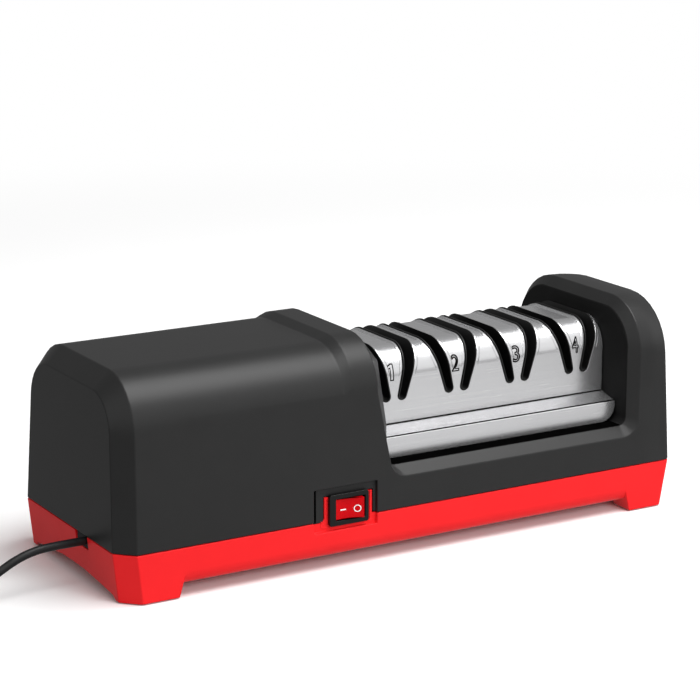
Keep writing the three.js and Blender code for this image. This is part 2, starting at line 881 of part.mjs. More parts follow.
function makeSpindle() {
  const train = new THREE.Group();
  train.position.set(0, axisY, axisHeight);
  sharpener.add(train);
  const first = stageX[0] - discOuter - fit;
  const shaft = turned([
    [spindleLeft, 0],
    [spindleLeft, spindleRadius],
    [first - shoulderLength, spindleRadius],
    [first - shoulderLength, shoulderRadius],
    [first, shoulderRadius],
    [first, spindleRadius],
    [spindleRight, spindleRadius],
    [spindleRight, 0],
  ]);
  add('spindle', shaft, materials.zinc, [0, 0, 0], train);
  const ring = washer(0, clipWidth, spindleRadius + fit, clipRadius);
  const mouth = block([-overrun, overrun], [-clipMouth / 2, clipMouth / 2], [0, clipRadius + overrun]);
  const clipX = stageX[stageCount - 1] + discOuter + fit;
  add('spindle_clip', cut(ring, mouth), materials.zinc, [clipX, 0, 0], train);
  makeDiscs(train);
  makeSprings(train);
  makeMotorInside(train);
}

function makeDiscs(train) {
  const bore = spindleRadius + fit;
  const profile = [
    [discInset + springSeatDepth, bore],
    [discInset + springSeatDepth, springSeatRadius],
    [discInset, springSeatRadius],
    [discInset, discRadius],
    [discOuter, discRadius],
    [discOuter, gritInnerRadius],
    [discOuter - gritStep, gritInnerRadius],
    [discOuter - gritStep, bore],
  ];
  stageX.forEach((middle, stage) => {
    for (const side of [-1, 1]) {
      const disc = turned(profile.map(([x, radius]) => [side * x, radius]), 20);
      const number = 2 * stage + (side < 0 ? 1 : 2);
      const material = stage === stageCount - 1 ? materials.polish : materials.grit;
      add(`grinding_disc_${number}`, disc, material, [middle, 0, 0], train);
    }
  });
}

// Compression spring between the two discs of a stage, one unbroken wire

function makeSprings(train) {
  const reach = discInset + springSeatDepth - fit - springWire;
  const total = springCurls * springSteps;
  const rings = Array.from({ length: total + 1 }, (_, i) => {
    const angle = (2 * Math.PI * i) / springSteps;
    const x = -reach + (2 * reach * i) / total;
    return arc(0, 0, springWire, 0, 2 * Math.PI, springSides).slice(1).map(([out, along]) => {
      const radius = springRadius + out;
      return [x + along, radius * Math.cos(angle), radius * Math.sin(angle)];
    });
  });
  const spring = loft(rings, ([x, y, z]) => [Math.hypot(y, z), x]);
  stageX.forEach((x, i) => add(`disc_spring_${i + 1}`, spring, materials.zinc, [x, 0, 0], train));
  const gap = (2 * reach) / springCurls - 2 * springWire;
  console.log(`least gap between the curls of a disc spring: ${gap.toFixed(2)} mm`);
}

function makeMotorInside(train) {
  const shaftLeft = motorLeft - bellThickness;
  const shaft = rod('x', motorShaftRadius, shaftLeft, motorShaftEnd, 0, 0);
  add('motor_shaft', shaft, materials.zinc, [0, 0, 0], train);
  const radius = motorRadius - motorSheet - fit - magnetThickness - airGap;
  const half = rotorLength / 2;
  const slots = Array.from({ length: rotorSlots }, (_, i) => {
    const width = radius * rotorSlotShare;
    const depth = [radius * rotorCoreShare, radius + overrun];
    const slot = block([-rotorLength, rotorLength], [-width, width], depth);
    return slot.rotate([(360 * i) / rotorSlots, 0, 0]);
  });
  const bore = motorShaftRadius + fit;
  const core = cut(rod('x', radius, -half, half, 0, 0, 30), rod('x', bore, -rotorLength, rotorLength, 0, 0), ...slots);
  add('motor_rotor', core, materials.copper, [motorMiddle, 0, 0], train);
  const ring = washer(0, commutatorLength, bore, commutatorRadius);
  const cuts = Array.from({ length: rotorSlots }, (_, i) => {
    const depth = [commutatorRadius - commutatorCut, commutatorRadius + overrun];
    const width = [-commutatorCut / 2, commutatorCut / 2];
    const groove = block([-overrun, commutatorLength + overrun], width, depth);
    return groove.rotate([(360 * i) / rotorSlots, 0, 0]);
  });
  const commutatorX = motorMiddle - half - fit - commutatorLength;
  add('commutator', cut(ring, ...cuts), materials.copper, [commutatorX, 0, 0], train);
  const coupling = turned([
    [-couplingLength / 2, motorShaftRadius + fit],
    [0, motorShaftRadius + fit],
    [0, spindleRadius + fit],
    [couplingLength / 2, spindleRadius + fit],
    [couplingLength / 2, couplingRadius],
    [-couplingLength / 2, couplingRadius],
  ]);
  add('coupling', coupling, materials.brass, [(spindleLeft + motorShaftEnd) / 2, 0, 0], train);
}

// Motor shell and magnet, which stay still

function makeMotorShell() {
  const shell = new THREE.Group();
  shell.position.set(0, axisY, axisHeight);
  sharpener.add(shell);
  const inner = motorRadius - motorSheet;
  const can = turned([
    [motorRight, motorShaftRadius + fit],
    [motorRight, motorRadius - motorSheet],
    [motorRight - motorSheet, motorRadius],
    [motorLeft, motorRadius],
    [motorLeft, inner],
    [motorRight - 2 * motorSheet, inner],
    [motorRight - 2 * motorSheet, motorMouthRadius],
    [motorRight - bellThickness, motorMouthRadius],
    [motorRight - bellThickness, motorShaftRadius + fit],
  ], motorSides);
  add('motor_can', can, materials.zinc, [0, 0, 0], shell);
  const bell = turned([
    [motorLeft - fit, motorShaftRadius + fit],
    [motorLeft - fit, motorRadius],
    [motorLeft - fit - bellThickness / 2, motorRadius],
    [motorLeft - fit - bellThickness / 2, bellBossRadius],
    [motorLeft - fit - bellThickness, bellBossRadius],
    [motorLeft - fit - bellThickness, motorShaftRadius + fit],
  ], motorSides);
  add('motor_bell', bell, materials.guide, [0, 0, 0], shell);
  const magnetOuter = inner - fit;
  const ends = [motorMiddle - magnetLength / 2, motorMiddle + magnetLength / 2];
  const magnet = washer(...ends, magnetOuter - magnetThickness, magnetOuter, motorSides);
  add('motor_magnet', magnet, materials.ferrite, [0, 0, 0], shell);
}

// Strap that holds the motor down on its cradle

function makeStrap() {
  const inner = motorRadius + fit;
  const outer = inner + strapThickness;
  const droop = Math.asin(strapThickness / outer);
  const hoop = [
    ...arc(axisY, axisHeight, outer, -droop, Math.PI + droop, 18),
    ...arc(axisY, axisHeight, inner, Math.PI + droop, -droop, 18),
  ];
  const half = strapWidth / 2;
  const tabReach = strapReach + strapBossRadius;
  const tabs = [-1, 1].map((side) => {
    const y = [axisY + side * (inner + fit), axisY + side * tabReach].sort((a, b) => a - b);
    return block([-half, half], y, [axisHeight - strapThickness, axisHeight]);
  });
  const holes = strapPlaces.map((y) => rod('z', screwBore, splitHeight, bayTop, 0, y, 12));
  const strap = cut(join(prism('x', hoop, -half, half), ...tabs), ...holes);
  add('motor_strap', strap, materials.zinc, [motorMiddle, 0, 0]);
  strapPlaces.forEach((y, i) => {
    add(`strap_screw_${i + 1}`, screw(screwDepth), materials.zinc, [motorMiddle, y, axisHeight + fit]);
  });
}

// Screw with its head above z = 0 and its shank below

function screw(length) {
  const head = rod('z', screwHead, 0, screwHeadHeight, 0, 0, 12);
  const shank = rod('z', screwShank, -length, fit, 0, 0, 10);
  return join(head, shank);
}

// Base tray

function baseOutline(endInset, sideInset) {
  const x = halfLength - endInset;
  const y = halfDepth - sideInset;
  const chamfer = endChamfer;
  const right = Math.PI / 2;
  return [
    [-x, -y + chamfer],
    [-x + chamfer, -y],
    ...arc(x - endRadius, -y + endRadius, endRadius, 3 * right, 4 * right, 3),
    ...arc(x - endRadius, y - endRadius, endRadius, 0, right, 3),
    [-x + chamfer, y],
    [-x, y - chamfer],
  ];
}

function baseRing(z, endInset, sideInset) {
  return baseOutline(endInset, sideInset).map(([x, y]) => [x, y, z]);
}

function skirtHalf(side) {
  const rise = skirtRise - footGap;
  const points = arc(0, 0, 1, 0, Math.PI / 2, skirtSteps).map(([across, down]) => {
    return [side * (halfDepth - skirtTuck * (1 - across)), skirtRise - rise * down];
  });
  return [[side * (halfDepth + overrun), -overrun], [side * (halfDepth + overrun), skirtRise], ...points];
}

// Space under the base between the feet: a tucked-in skirt in front and behind, an arch at each end

function underBase() {
  const profile = [...skirtHalf(-1), ...skirtHalf(1).reverse()];
  const rake = footRake / skirtRise;
  const left = (z) => -halfLength + leftFoot + z * rake;
  const right = (z) => halfLength - rightFoot - z * rake;
  const front = [-overrun, skirtRise + overrun];
  const sides = [
    [left(front[0]), front[0]],
    [right(front[0]), front[0]],
    [right(front[1]), front[1]],
    [left(front[1]), front[1]],
  ];
  const between = prism('x', profile, -halfLength, halfLength).intersect(
    prism('y', sides, -halfDepth - 2 * overrun, halfDepth + 2 * overrun),
  );
  const archHalf = halfDepth - footDepth;
  const half = archShares.map(([across, up]) => [across * archHalf, padProud + up * (footGap - padProud)]);
  const arch = [
    [archHalf, -overrun],
    ...half,
    ...half.slice(0, -1).reverse().map(([y, z]) => [-y, z]),
    [-archHalf, -overrun],
  ];
  return join(between, prism('x', arch, -halfLength - overrun, halfLength + overrun));
}

function padPlaces() {
  return [
    [-halfLength + endChamfer, -halfLength + leftFoot - padInset],
    [halfLength - rightFoot + padInset, halfLength - 2 * padInset],
  ];
}

function baseTray() {
  const taper = (z) => baseTaper * (1 - z / splitHeight);
  const outer = loft([
    baseRing(padProud, taper(padProud), 0),
    baseRing(baseTop, taper(baseTop), 0),
  ], ([x, y]) => [x, y]);
  const inner = loft([
    baseRing(floorTop, taper(floorTop) + wall, wall),
    baseRing(baseTop + overrun, taper(baseTop) + wall, wall),
  ], ([x, y]) => [x, y]);
  return cut(outer, inner, underBase());
}

function cradles() {
  const seat = rod('x', motorRadius + fit, motorLeft, motorRight, axisY, axisHeight, 28);
  const pass = block(
    [motorLeft, motorRight],
    [wirePassY - wirePassWidth / 2, wirePassY + wirePassWidth / 2],
    [floorTop, wirePassHeight],
  );
  const ribs = cradleX.map((x) => block(
    [x - cradleThickness / 2, x + cradleThickness / 2],
    [axisY - cradleHalfDepth, axisY + cradleHalfDepth],
    [floorTop - fit, axisHeight],
  ));
  return cut(join(...ribs), seat, pass);
}

function bearingPosts() {
  const posts = bearingPlaces.map((x) => block(
    [x - postLength / 2, x + postLength / 2],
    [axisY - postHalfDepth, axisY + postHalfDepth],
    [floorTop - fit, axisHeight],
  ));
  return cut(join(...posts), ...bearingPlaces.map((x) => bearingSeat(x)));
}

function bearingSeat(x) {
  const pocket = bearingWidth / 2 + fit;
  return join(
    rod('x', bearingRadius + fit, x - pocket, x + pocket, axisY, axisHeight),
    rod('x', spindleRadius + 2 * fit, x - postLength, x + postLength, axisY, axisHeight),
  );
}

function boardPosts() {
  const x = boardLength / 2 - boardPostInset;
  const y = boardDepth / 2 - boardPostInset;
  const range = [floorTop - fit, boardHeight - fit];
  return [[-x, -y], [x, -y], [-x, y], [x, y]].map(([dx, dy]) => {
    return rod('z', boardPostRadius, ...range, motorMiddle + dx, wirePassY + dy, 10);
  });
}

function switchTab() {
  const [x, z] = recessInner();
  const depth = [tabFront, tabFront + tabThickness];
  return block([x[0] + fit, x[1] - fit], depth, [floorTop, z[1] - fit]);
}

function makeBase() {
  const strapSeat = axisHeight - strapThickness - fit;
  const strapBosses = strapPlaces.map((y) => rod('z', strapBossRadius, floorTop - fit, strapSeat, motorMiddle, y, 14));
  const strapHoles = strapPlaces.map((y) => {
    return rod('z', screwBore, axisHeight - screwDepth - fit, axisHeight, motorMiddle, y, 12);
  });
  const holeX = bezelLength / 2 - switchBodyInset + fit;
  const holeZ = bezelHeight / 2 - switchBodyInset + fit;
  const bodyHole = block(
    [switchX - holeX, switchX + holeX],
    [-halfDepth - overrun, tabFront + tabThickness + overrun],
    [switchHeight - holeZ, switchHeight + holeZ],
  );
  const notch = block(
    [-halfLength - overrun, bushWall],
    [notchFront, notchRear],
    [notchFoot, splitHeight + overrun],
  );
  const padSeats = padPlaces().flatMap(([from, to]) => [-1, 1].map((side) => {
    const y = side * (halfDepth - footDepth / 2);
    const half = padDepth / 2 + fit;
    const outline = roundedBox([from - fit, to + fit], [y - half, y + half], padDepth / 3);
    return prism('z', outline, -overrun, padHeight + fit);
  }));
  const tray = join(
    cut(baseTray(), switchRecess()),
    ...bossRods(caseBossRadius, floorTop - fit, baseTop),
    ...strapBosses,
    ...boardPosts(),
    cradles(),
    bearingPosts(),
    switchTab(),
  );
  const headRoom = bossRods(screwHead + fit, -overrun, floorTop);
  const shankHoles = bossRods(screwBore, 0, baseTop + overrun);
  const base = cut(tray, bodyHole, notch, ...padSeats, ...strapHoles, ...headRoom, ...shankHoles);
  add('base', base, materials.red);
}

function makePads() {
  let number = 0;
  for (const [from, to] of padPlaces()) {
    for (const side of [-1, 1]) {
      const outline = roundedBox([from, to], [-padDepth / 2, padDepth / 2], padDepth / 3);
      const place = [0, side * (halfDepth - footDepth / 2), 0];
      number += 1;
      add(`foot_pad_${number}`, prism('z', outline, 0, padHeight), materials.rubber, place);
    }
  }
}

function makeCaseScrews() {
  const length = housingFoot + screwDepth - floorTop;
  const shape = screw(length).rotate([180, 0, 0]);
  corners().forEach(([x, y], i) => {
    add(`case_screw_${i + 1}`, shape, materials.zinc, [x, y, floorTop - fit]);
  });
}

function makeBearings() {
  bearingPlaces.forEach((x, i) => {
    const half = bearingWidth / 2;
    const bore = spindleRadius + fit;
    const ring = washer(-half, half, bore, bearingRadius);
    add(`bearing_${i + 1}`, ring, materials.zinc, [x, axisY, axisHeight]);
    const arch = block(
      [x - postLength / 2, x + postLength / 2],
      [axisY - postHalfDepth, axisY + postHalfDepth],
      [axisHeight + fit, axisHeight + capHeight],
    );
    add(`bearing_cap_${i + 1}`, cut(arch, bearingSeat(x)), materials.guide);
  });
}

// Rocker switch: bezel and body in one moulding, two terminals, and the rocker pressed in on its left

function makeSwitch() {
  const place = [switchX, 0, switchHeight];
  const halfX = bezelLength / 2;
  const halfZ = bezelHeight / 2;
  const frame = roundedBox([-halfX, halfX], [-halfZ, halfZ], bezelCorner);
  const bezel = prism('y', frame, bezelFront, tabFront - fit);
  const inset = switchBodyInset;
  const depth = [tabFront - 2 * fit, switchBack];
  const body = block([inset - halfX, halfX - inset], depth, [inset - halfZ, halfZ - inset]);
  const wellX = halfX - bezelSide;
  const wellZ = rockerHeight / 2 + fit;
  const well = block([-wellX, wellX], [bezelFront - overrun, rockerY + rockerBack + 2 * fit], [-wellZ, wellZ]);
  const pinHole = rod('z', rockerPin + fit, -halfZ, halfZ, 0, rockerY, 12);
  const pinRoom = pinHole.intersect(block([-halfX, halfX], [tabFront - fit, switchBack], [-halfZ, halfZ]));
  add('switch_body', cut(join(bezel, body), well, pinRoom), materials.guide, place);
  [-1, 1].forEach((side, i) => {
    const x = (side * terminalSpacing) / 2;
    const blade = block(
      [x - terminalThickness / 2, x + terminalThickness / 2],
      [switchBack + fit, switchBack + fit + terminalLength],
      [-terminalWidth / 2, terminalWidth / 2],
    );
    add(`switch_terminal_${i + 1}`, blade, materials.brass, place);
  });
}

function makeRocker() {
  const rise = rockerHalf * Math.tan(rockerTilt);
  const outline = [
    [0, -rockerDish],
    [rockerHalf, -rockerDish - rise],
    [rockerHalf, 0],
    [rockerHalf / 2, rockerBack],
    [-rockerHalf / 2, rockerBack],
    [-rockerHalf, 0],
    [-rockerHalf, -rockerDish - rise],
  ];
  const half = rockerHeight / 2;
  const pins = rod('z', rockerPin, -half - rockerPinLength, half + rockerPinLength, 0, 0, 12);
  const shape = join(prism('z', outline, -half, half), pins);
  const rocker = add('rocker', shape, materials.red, [switchX, rockerY, switchHeight]);
  rocker.rotation.z = -rockerTilt;
}

function makeBoard() {
  const top = boardThickness;
  const board = block([-boardLength / 2, boardLength / 2], [-boardDepth / 2, boardDepth / 2], [0, top]);
  const row = boardDepth / 4;
  const capacitor = rod('x', capacitorRadius, 0, capacitorLength, -row, top + capacitorRadius - fit, 14);
  const rectifier = block(
    [-rectifierSize, 0],
    [row - fit, row + rectifierSize / 2],
    [top - fit, top + rectifierSize],
  );
  const relay = block(
    [-relaySize - fit, -fit],
    [-row - relaySize / 2, -row + relaySize / 2],
    [top - fit, top + relaySize / 2],
  );
  const shape = join(board, capacitor, rectifier, relay);
  add('circuit_board', shape, materials.board, [motorMiddle, wirePassY, boardHeight]);
}

function makeBush() {
  const face = -halfLength + bushRecess;
  const y = [notchFront + fit, notchRear - fit];
  const body = block([face, face + bushLength], y, [notchFoot + fit, splitHeight - fit]);
  const flange = block(
    [bushWall, face + bushLength],
    [y[0] - bushFlange, y[1] + bushFlange],
    [notchFoot - bushFlange, splitHeight - fit],
  );
  add('cord_bush', join(body, flange), materials.rubber);
}

function makeWires() {
  add('wire_live', tube(liveRoute, wireRadius, wireSides, 24), materials.brown);
  add('wire_switched', tube(switchedRoute, wireRadius, wireSides, 12), materials.brown);
  add('wire_neutral', tube(neutralRoute, wireRadius, wireSides, 8), materials.blue);
}

// Centreline of the coil, clockwise seen from above: in on the lower layer, a climb in half a turn, out again

function coilPoint(turn) {
  const climb = 0.5;
  const turns = 2 * coilTurns + climb;
  const inward = Math.min(turn, coilTurns);
  const outward = Math.max(turn - coilTurns - climb, 0);
  const radius = coilOuter - coilPitch * (inward - outward);
  const lift = THREE.MathUtils.clamp((turn - coilTurns) / climb, 0, 1);
  const angle = -Math.PI / 2 - 2 * Math.PI * turn;
  return { radius, angle, height: coilHeight + coilPitch * lift, turns };
}

function makeCoil() {
  const { turns } = coilPoint(0);
  const steps = turns * coilSteps;
  const straight = 2 * cordRadius;
  const section = arc(0, 0, cordRadius, 0, 2 * Math.PI, coilSides).slice(1);
  const centres = [];
  const rings = [];
  for (let i = 0; i <= steps; i += 1) {
    const { radius, angle, height } = coilPoint(i / coilSteps);
    const out = [Math.cos(angle), Math.sin(angle)];
    centres.push(new THREE.Vector3(radius * out[0], radius * out[1], height));
    rings.push(section.map(([across, up]) => {
      const reach = radius + across;
      return [reach * out[0], reach * out[1], height + up];
    }));
  }
  const before = rings[0].map(([x, y, z]) => [x + straight, y, z]);
  const after = rings[steps].map(([x, y, z]) => [x - straight, y, z]);
  const coil = loft([before, ...rings, after], ([, y, z]) => [y, z]);
  add('cord_coil', coil, materials.cord, [coilX, coilY, 0]);
  let least = Infinity;
  for (let i = 0; i < centres.length; i += 1) {
    for (let j = i + coilSteps / 2; j < centres.length; j += 1) {
      least = Math.min(least, centres[i].distanceTo(centres[j]) - 2 * cordRadius);
    }
  }
  console.log(`least gap between the turns of the cord's coil: ${least.toFixed(2)} mm`);
}

function makeTie() {
  const inner = [
    [coilInner - cordRadius - fit, coilOuter + cordRadius + fit],
    [tieThickness, coilHeight + coilPitch + cordRadius + fit],
  ];
  const outer = [
    [inner[0][0] - tieThickness, inner[0][1] + tieThickness],
    [0, inner[1][1] + tieThickness],
  ];
  const half = tieWidth / 2;
  const band = cut(block([-half, half], ...outer), block([-tieWidth, tieWidth], ...inner));
  const middle = (coilInner + coilOuter) / 2;
  const top = outer[1][1];
  const lock = block([-half, half], [middle - tieLock, middle + tieLock], [top - tieThickness / 2, top + tieLock]);
  add('cord_tie', join(band, lock), materials.rubber, [coilX, coilY, 0]);
}

function makeCord() {
  add('cord_lead', tube(leadRoute, cordRadius, cordSides, 16), materials.cord);
  add('cord_tail', tube(tailRoute, cordRadius, cordSides, 14), materials.cord);
}

// Flat plug with two round pins, lying on its side face with the pins towards +Y

function makePlug() {
  const plug = new THREE.Group();
  plug.position.set(plugX, plugY, plugHeight / 2);
  sharpener.add(plug);
  const waist = (plugWidth / 2) * plugWaistShare;
  const wide = plugWidth / 2;
  const rear = sleeveLength;
  const front = sleeveLength + plugLength;
  const shoulderY = rear + plugLength / 2;
  const plan = [
    [-waist, rear],
    [waist, rear],
    [wide, shoulderY],
    [wide, front],
    [-wide, front],
    [-wide, shoulderY],
  ];
  const halfHeight = plugHeight / 2;
  const edge = roundedBox([-wide, wide], [-halfHeight, halfHeight], plugCorner);
  const body = prism('z', plan, -halfHeight, halfHeight).intersect(prism('y', edge, rear, front));
  const ringAt = (y, radius) => {
    return arc(0, 0, radius, 0, 2 * Math.PI, 12).slice(1).map(([x, z]) => [x, y, z]);
  };
  const ends = [ringAt(0, cordRadius + 2 * fit), ringAt(rear + fit, sleeveRadius)];
  const sleeve = loft(ends, ([x, , z]) => [x, z]);
  const pinX = [-pinSpacing / 2, pinSpacing / 2];
  const holes = pinX.map((x) => rod('y', pinRadius + fit, front - pinHole, front + overrun, x, 0, 14));
  add('plug', cut(join(body, sleeve), ...holes), materials.cord, [0, 0, 0], plug);
  pinX.forEach((x, i) => {
    const pin = rod('y', pinRadius, front - pinHole + fit, front + pinLength, x, 0, 14);
    add(`plug_pin_${i + 1}`, pin, materials.zinc, [0, 0, 0], plug);
  });
}

makeBase();
makeHousing();
makeCover();
makeGuides();
makeSpindle();
makeMotorShell();
makeStrap();
makeBearings();
makePads();
makeCaseScrews();
makeSwitch();
makeRocker();
makeBoard();
makeBush();
makeWires();
makeCord();
makeCoil();
makeTie();
makePlug();

export default sharpener;
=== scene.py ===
# %% [markdown]
# # An electric knife sharpener, dressed for a studio picture
#
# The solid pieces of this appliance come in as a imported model: every one already has its real size and place.
# What is left to do here is what the eye notices: rounded edges, folded steel, printed numbers, a cord that lies
# as a cord does, and a finish for every surface.

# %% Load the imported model
import json
import math

import bmesh
import bpy
from mathutils import Matrix, Vector
from mathutils.bvhtree import BVHTree
from mathutils.geometry import interpolate_bezier

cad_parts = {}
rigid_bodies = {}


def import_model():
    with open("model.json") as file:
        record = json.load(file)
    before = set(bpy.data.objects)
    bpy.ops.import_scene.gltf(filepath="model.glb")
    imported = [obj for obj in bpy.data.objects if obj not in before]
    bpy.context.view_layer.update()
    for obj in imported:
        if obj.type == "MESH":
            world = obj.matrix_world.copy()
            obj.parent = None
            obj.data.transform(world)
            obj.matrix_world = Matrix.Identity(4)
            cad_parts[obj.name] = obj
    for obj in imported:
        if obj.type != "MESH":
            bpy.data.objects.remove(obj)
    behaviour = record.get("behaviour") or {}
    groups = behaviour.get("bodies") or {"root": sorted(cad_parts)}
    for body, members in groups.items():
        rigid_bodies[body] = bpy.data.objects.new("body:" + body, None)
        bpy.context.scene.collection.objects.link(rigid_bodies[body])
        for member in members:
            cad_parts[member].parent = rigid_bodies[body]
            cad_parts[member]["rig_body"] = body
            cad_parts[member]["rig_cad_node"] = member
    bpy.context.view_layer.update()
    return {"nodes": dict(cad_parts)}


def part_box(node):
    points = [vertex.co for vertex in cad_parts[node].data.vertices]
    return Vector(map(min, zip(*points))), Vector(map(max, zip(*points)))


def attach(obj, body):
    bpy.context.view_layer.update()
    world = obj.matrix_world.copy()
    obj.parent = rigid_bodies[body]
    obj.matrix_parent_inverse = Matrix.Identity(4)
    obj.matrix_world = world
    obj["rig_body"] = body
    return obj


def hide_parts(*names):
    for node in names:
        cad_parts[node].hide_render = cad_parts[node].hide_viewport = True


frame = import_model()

MM = 0.001

# %% [markdown]
# ## The camera
#
# A product picture is taken from some way off with a long lens, so that lines stay nearly parallel. The camera
# here stands 1.13 m from the appliance, 30 degrees round to its left and 14 degrees up. An angle for the turn and one
# for the height are easier to read than a place in space, so the place is worked out from them.

# %% Camera
camera_turn = math.radians(-30.375)
camera_height = math.radians(14.119)
camera_distance = 1132.0 * MM
camera_target = Vector((-0.69, 0.0, 86.27)) * MM

towards_camera = Vector((
    math.sin(camera_turn) * math.cos(camera_height),
    -math.cos(camera_turn) * math.cos(camera_height),
    math.sin(camera_height),
))
camera_data = bpy.data.cameras.new("camera")
camera_data.lens = 121.9
camera_data.sensor_width = 36.0
camera_data.clip_start = 0.05
camera_data.clip_end = 20.0
camera = bpy.data.objects.new("camera", camera_data)
bpy.context.scene.collection.objects.link(camera)
camera.location = camera_target + towards_camera * camera_distance
camera.rotation_mode = "QUATERNION"
camera.rotation_quaternion = (-towards_camera).to_track_quat("-Z", "Y")
bpy.context.scene.camera = camera
print("camera at", [round(value, 3) for value in camera.location])

# %% [markdown]
# ## Small tools for modelling
#
# Blender's operators work on whatever is selected, so "take" makes one object the only selected one. "pick" chooses
# faces, edges or points in edit mode by a test in code, as a click would by hand. "modify" adds a modifier and
# applies it at once, so that a piece ends up as plain mesh.

# %% Helpers for selecting and shaping
def take(piece):
    """Makes one object the only selected and the active one."""
    bpy.ops.object.select_all(action="DESELECT")
    piece.hide_viewport = False
    piece.select_set(True)
    bpy.context.view_layer.objects.active = piece


def pick(piece, kind, test):
    """Goes into edit mode and selects the points, edges or faces that pass a test."""
    if piece.mode != "EDIT":
        take(piece)
        bpy.ops.object.mode_set(mode="EDIT")
    bpy.ops.mesh.select_mode(type=kind)
    bpy.ops.mesh.select_all(action="DESELECT")
    mesh = bmesh.from_edit_mesh(piece.data)
    mesh.normal_update()
    for item in {"VERT": mesh.verts, "EDGE": mesh.edges, "FACE": mesh.faces}[kind]:
        if test(item):
            item.select_set(True)
    mesh.select_flush_mode()
    bmesh.update_edit_mesh(piece.data)


def edit(piece):
    """Goes into edit mode with everything selected."""
    pick(piece, "VERT", lambda point: True)


def done():
    bpy.ops.object.mode_set(mode="OBJECT")


def leave(piece):
    """Back to object mode, with all faces pointing out."""
    bpy.ops.mesh.select_all(action="SELECT")
    bpy.ops.mesh.normals_make_consistent(inside=False)
    done()
    return piece


def modify(piece, kind, **settings):
    """Adds a modifier, sets it and applies it."""
    take(piece)
    modifier = piece.modifiers.new(kind.lower(), kind)
    for name, value in settings.items():
        setattr(modifier, name, value)
    bpy.ops.object.modifier_apply(modifier=modifier.name)


def carve(piece, tool, operation="DIFFERENCE"):
    """Cuts, joins or keeps what a tool shares with a piece, and puts the tool away."""
    modify(piece, "BOOLEAN", operation=operation, object=tool, solver="EXACT")
    bpy.data.objects.remove(tool)


def twin_of(piece, name):
    """A copy of a piece with its own mesh."""
    twin = piece.copy()
    twin.data = piece.data.copy()
    twin.name = twin.data.name = name
    bpy.context.scene.collection.objects.link(twin)
    return twin


def middle_of(edge):
    return (edge.verts[0].co + edge.verts[1].co) / 2


# %% [markdown]
# ## Blocks and rods to start from
#
# Most moulded pieces begin as a block between two corners, or as a rod along an axis. Both are primitives that are
# added at their size, and their place is applied straight away, so each finished object sits at the origin.

# %% Blocks and rods
def placed(name, scale=(1, 1, 1)):
    """Names the primitive that was just added, and applies its place and size."""
    piece = bpy.context.object
    piece.scale = scale
    piece.name = piece.data.name = name
    bpy.ops.object.transform_apply(location=True, rotation=True, scale=True)
    return piece


def block(name, low, high):
    """A block between two corners, in millimetres."""
    size = [(b - a) * MM for a, b in zip(low, high)]
    centre = [(a + b) / 2 * MM for a, b in zip(low, high)]
    bpy.ops.object.select_all(action="DESELECT")
    bpy.ops.mesh.primitive_cube_add(size=1, location=centre)
    return placed(name, size)


def rod(name, radius, start, end, sides=48):
    """A rod from one point to another, in millimetres."""
    start, end = Vector(start) * MM, Vector(end) * MM
    along = end - start
    bpy.ops.object.select_all(action="DESELECT")
    bpy.ops.mesh.primitive_cone_add(
        vertices=sides,
        radius1=radius * MM,
        radius2=radius * MM,
        depth=along.length,
        location=(start + end) / 2,
        rotation=along.to_track_quat("Z", "Y").to_euler(),
    )
    return placed(name)


def bevel(radius, segments, miter="ARC"):
    """Rounds the picked edges by one radius in millimetres."""
    bpy.ops.mesh.bevel(
        offset=radius * MM, segments=segments, profile=0.5, affect="EDGES", clamp_overlap=False, miter_outer=miter
    )


def round_edges(piece, test, radius, segments):
    """Rounds the edges that pass a test."""
    pick(piece, "EDGE", test)
    bevel(radius, segments)
    return leave(piece)


def runs_along(axis):
    """A test for edges that run along one axis."""
    def test(edge):
        run = (edge.verts[1].co - edge.verts[0].co).normalized()
        return abs(run[axis]) > 0.999
    return test


def lies_beyond(axis, place):
    """A test for edges that lie past a place on one axis, in millimetres."""
    return lambda edge: all(point.co[axis] > place * MM for point in edge.verts)


def cut_off(piece, place, outward):
    """Cuts away what lies past a plane, closes the cut and stays in edit mode."""
    edit(piece)
    bpy.ops.mesh.bisect(plane_co=[part * MM for part in place], plane_no=outward, use_fill=True, clear_outer=True)


# %% [markdown]
# ## Softened copies of moulded pieces
#
# A moulded or pressed piece never has a knife-sharp edge: the tool leaves a radius of a few tenths of a
# millimetre, and that radius is what catches the light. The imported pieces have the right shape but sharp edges.
# So a copy is taken, its doubled points are merged, its flat areas are dissolved to single faces, and a small bevel
# goes along each sharp edge that can be seen from outside. Weighted normals keep the flat faces flat.

# %% Helper for softened copies
def faces_turn(edge, angle):
    return edge.is_manifold and edge.calc_face_angle() > math.radians(angle)


def seen_edges(piece, angle):
    """The indices of sharp edges from which a straight way leads out of the piece."""
    mesh = bmesh.new()
    mesh.from_mesh(piece.data)
    mesh.normal_update()
    tree = BVHTree.FromBMesh(mesh)
    found = set()
    for edge in mesh.edges:
        if not faces_turn(edge, angle):
            continue
        out = (edge.link_faces[0].normal + edge.link_faces[1].normal).normalized()
        if tree.ray_cast(middle_of(edge) + out * 0.1 * MM, out)[0] is None:
            found.add(edge.index)
    mesh.free()
    return found


def smooth(piece, angle=30):
    """Shades a piece smooth across shallow angles, and keeps its large faces flat."""
    take(piece)
    bpy.ops.object.shade_smooth_by_angle(angle=math.radians(angle))
    modify(piece, "WEIGHTED_NORMAL", keep_sharp=True, weight=100, mode="FACE_AREA")
    return piece


def round_seen(piece, angle, radius, segments, also=None):
    """Rounds the sharp edges that can be seen, and any that one more test adds."""
    edges = seen_edges(piece, angle)
    pick(piece, "EDGE", lambda edge: edge.index in edges or (also and also(edge)))
    bevel(radius, segments)
    done()
    print(f"{piece.name}: {len(edges)} edges rounded by {radius} mm, {len(piece.data.polygons)} faces")


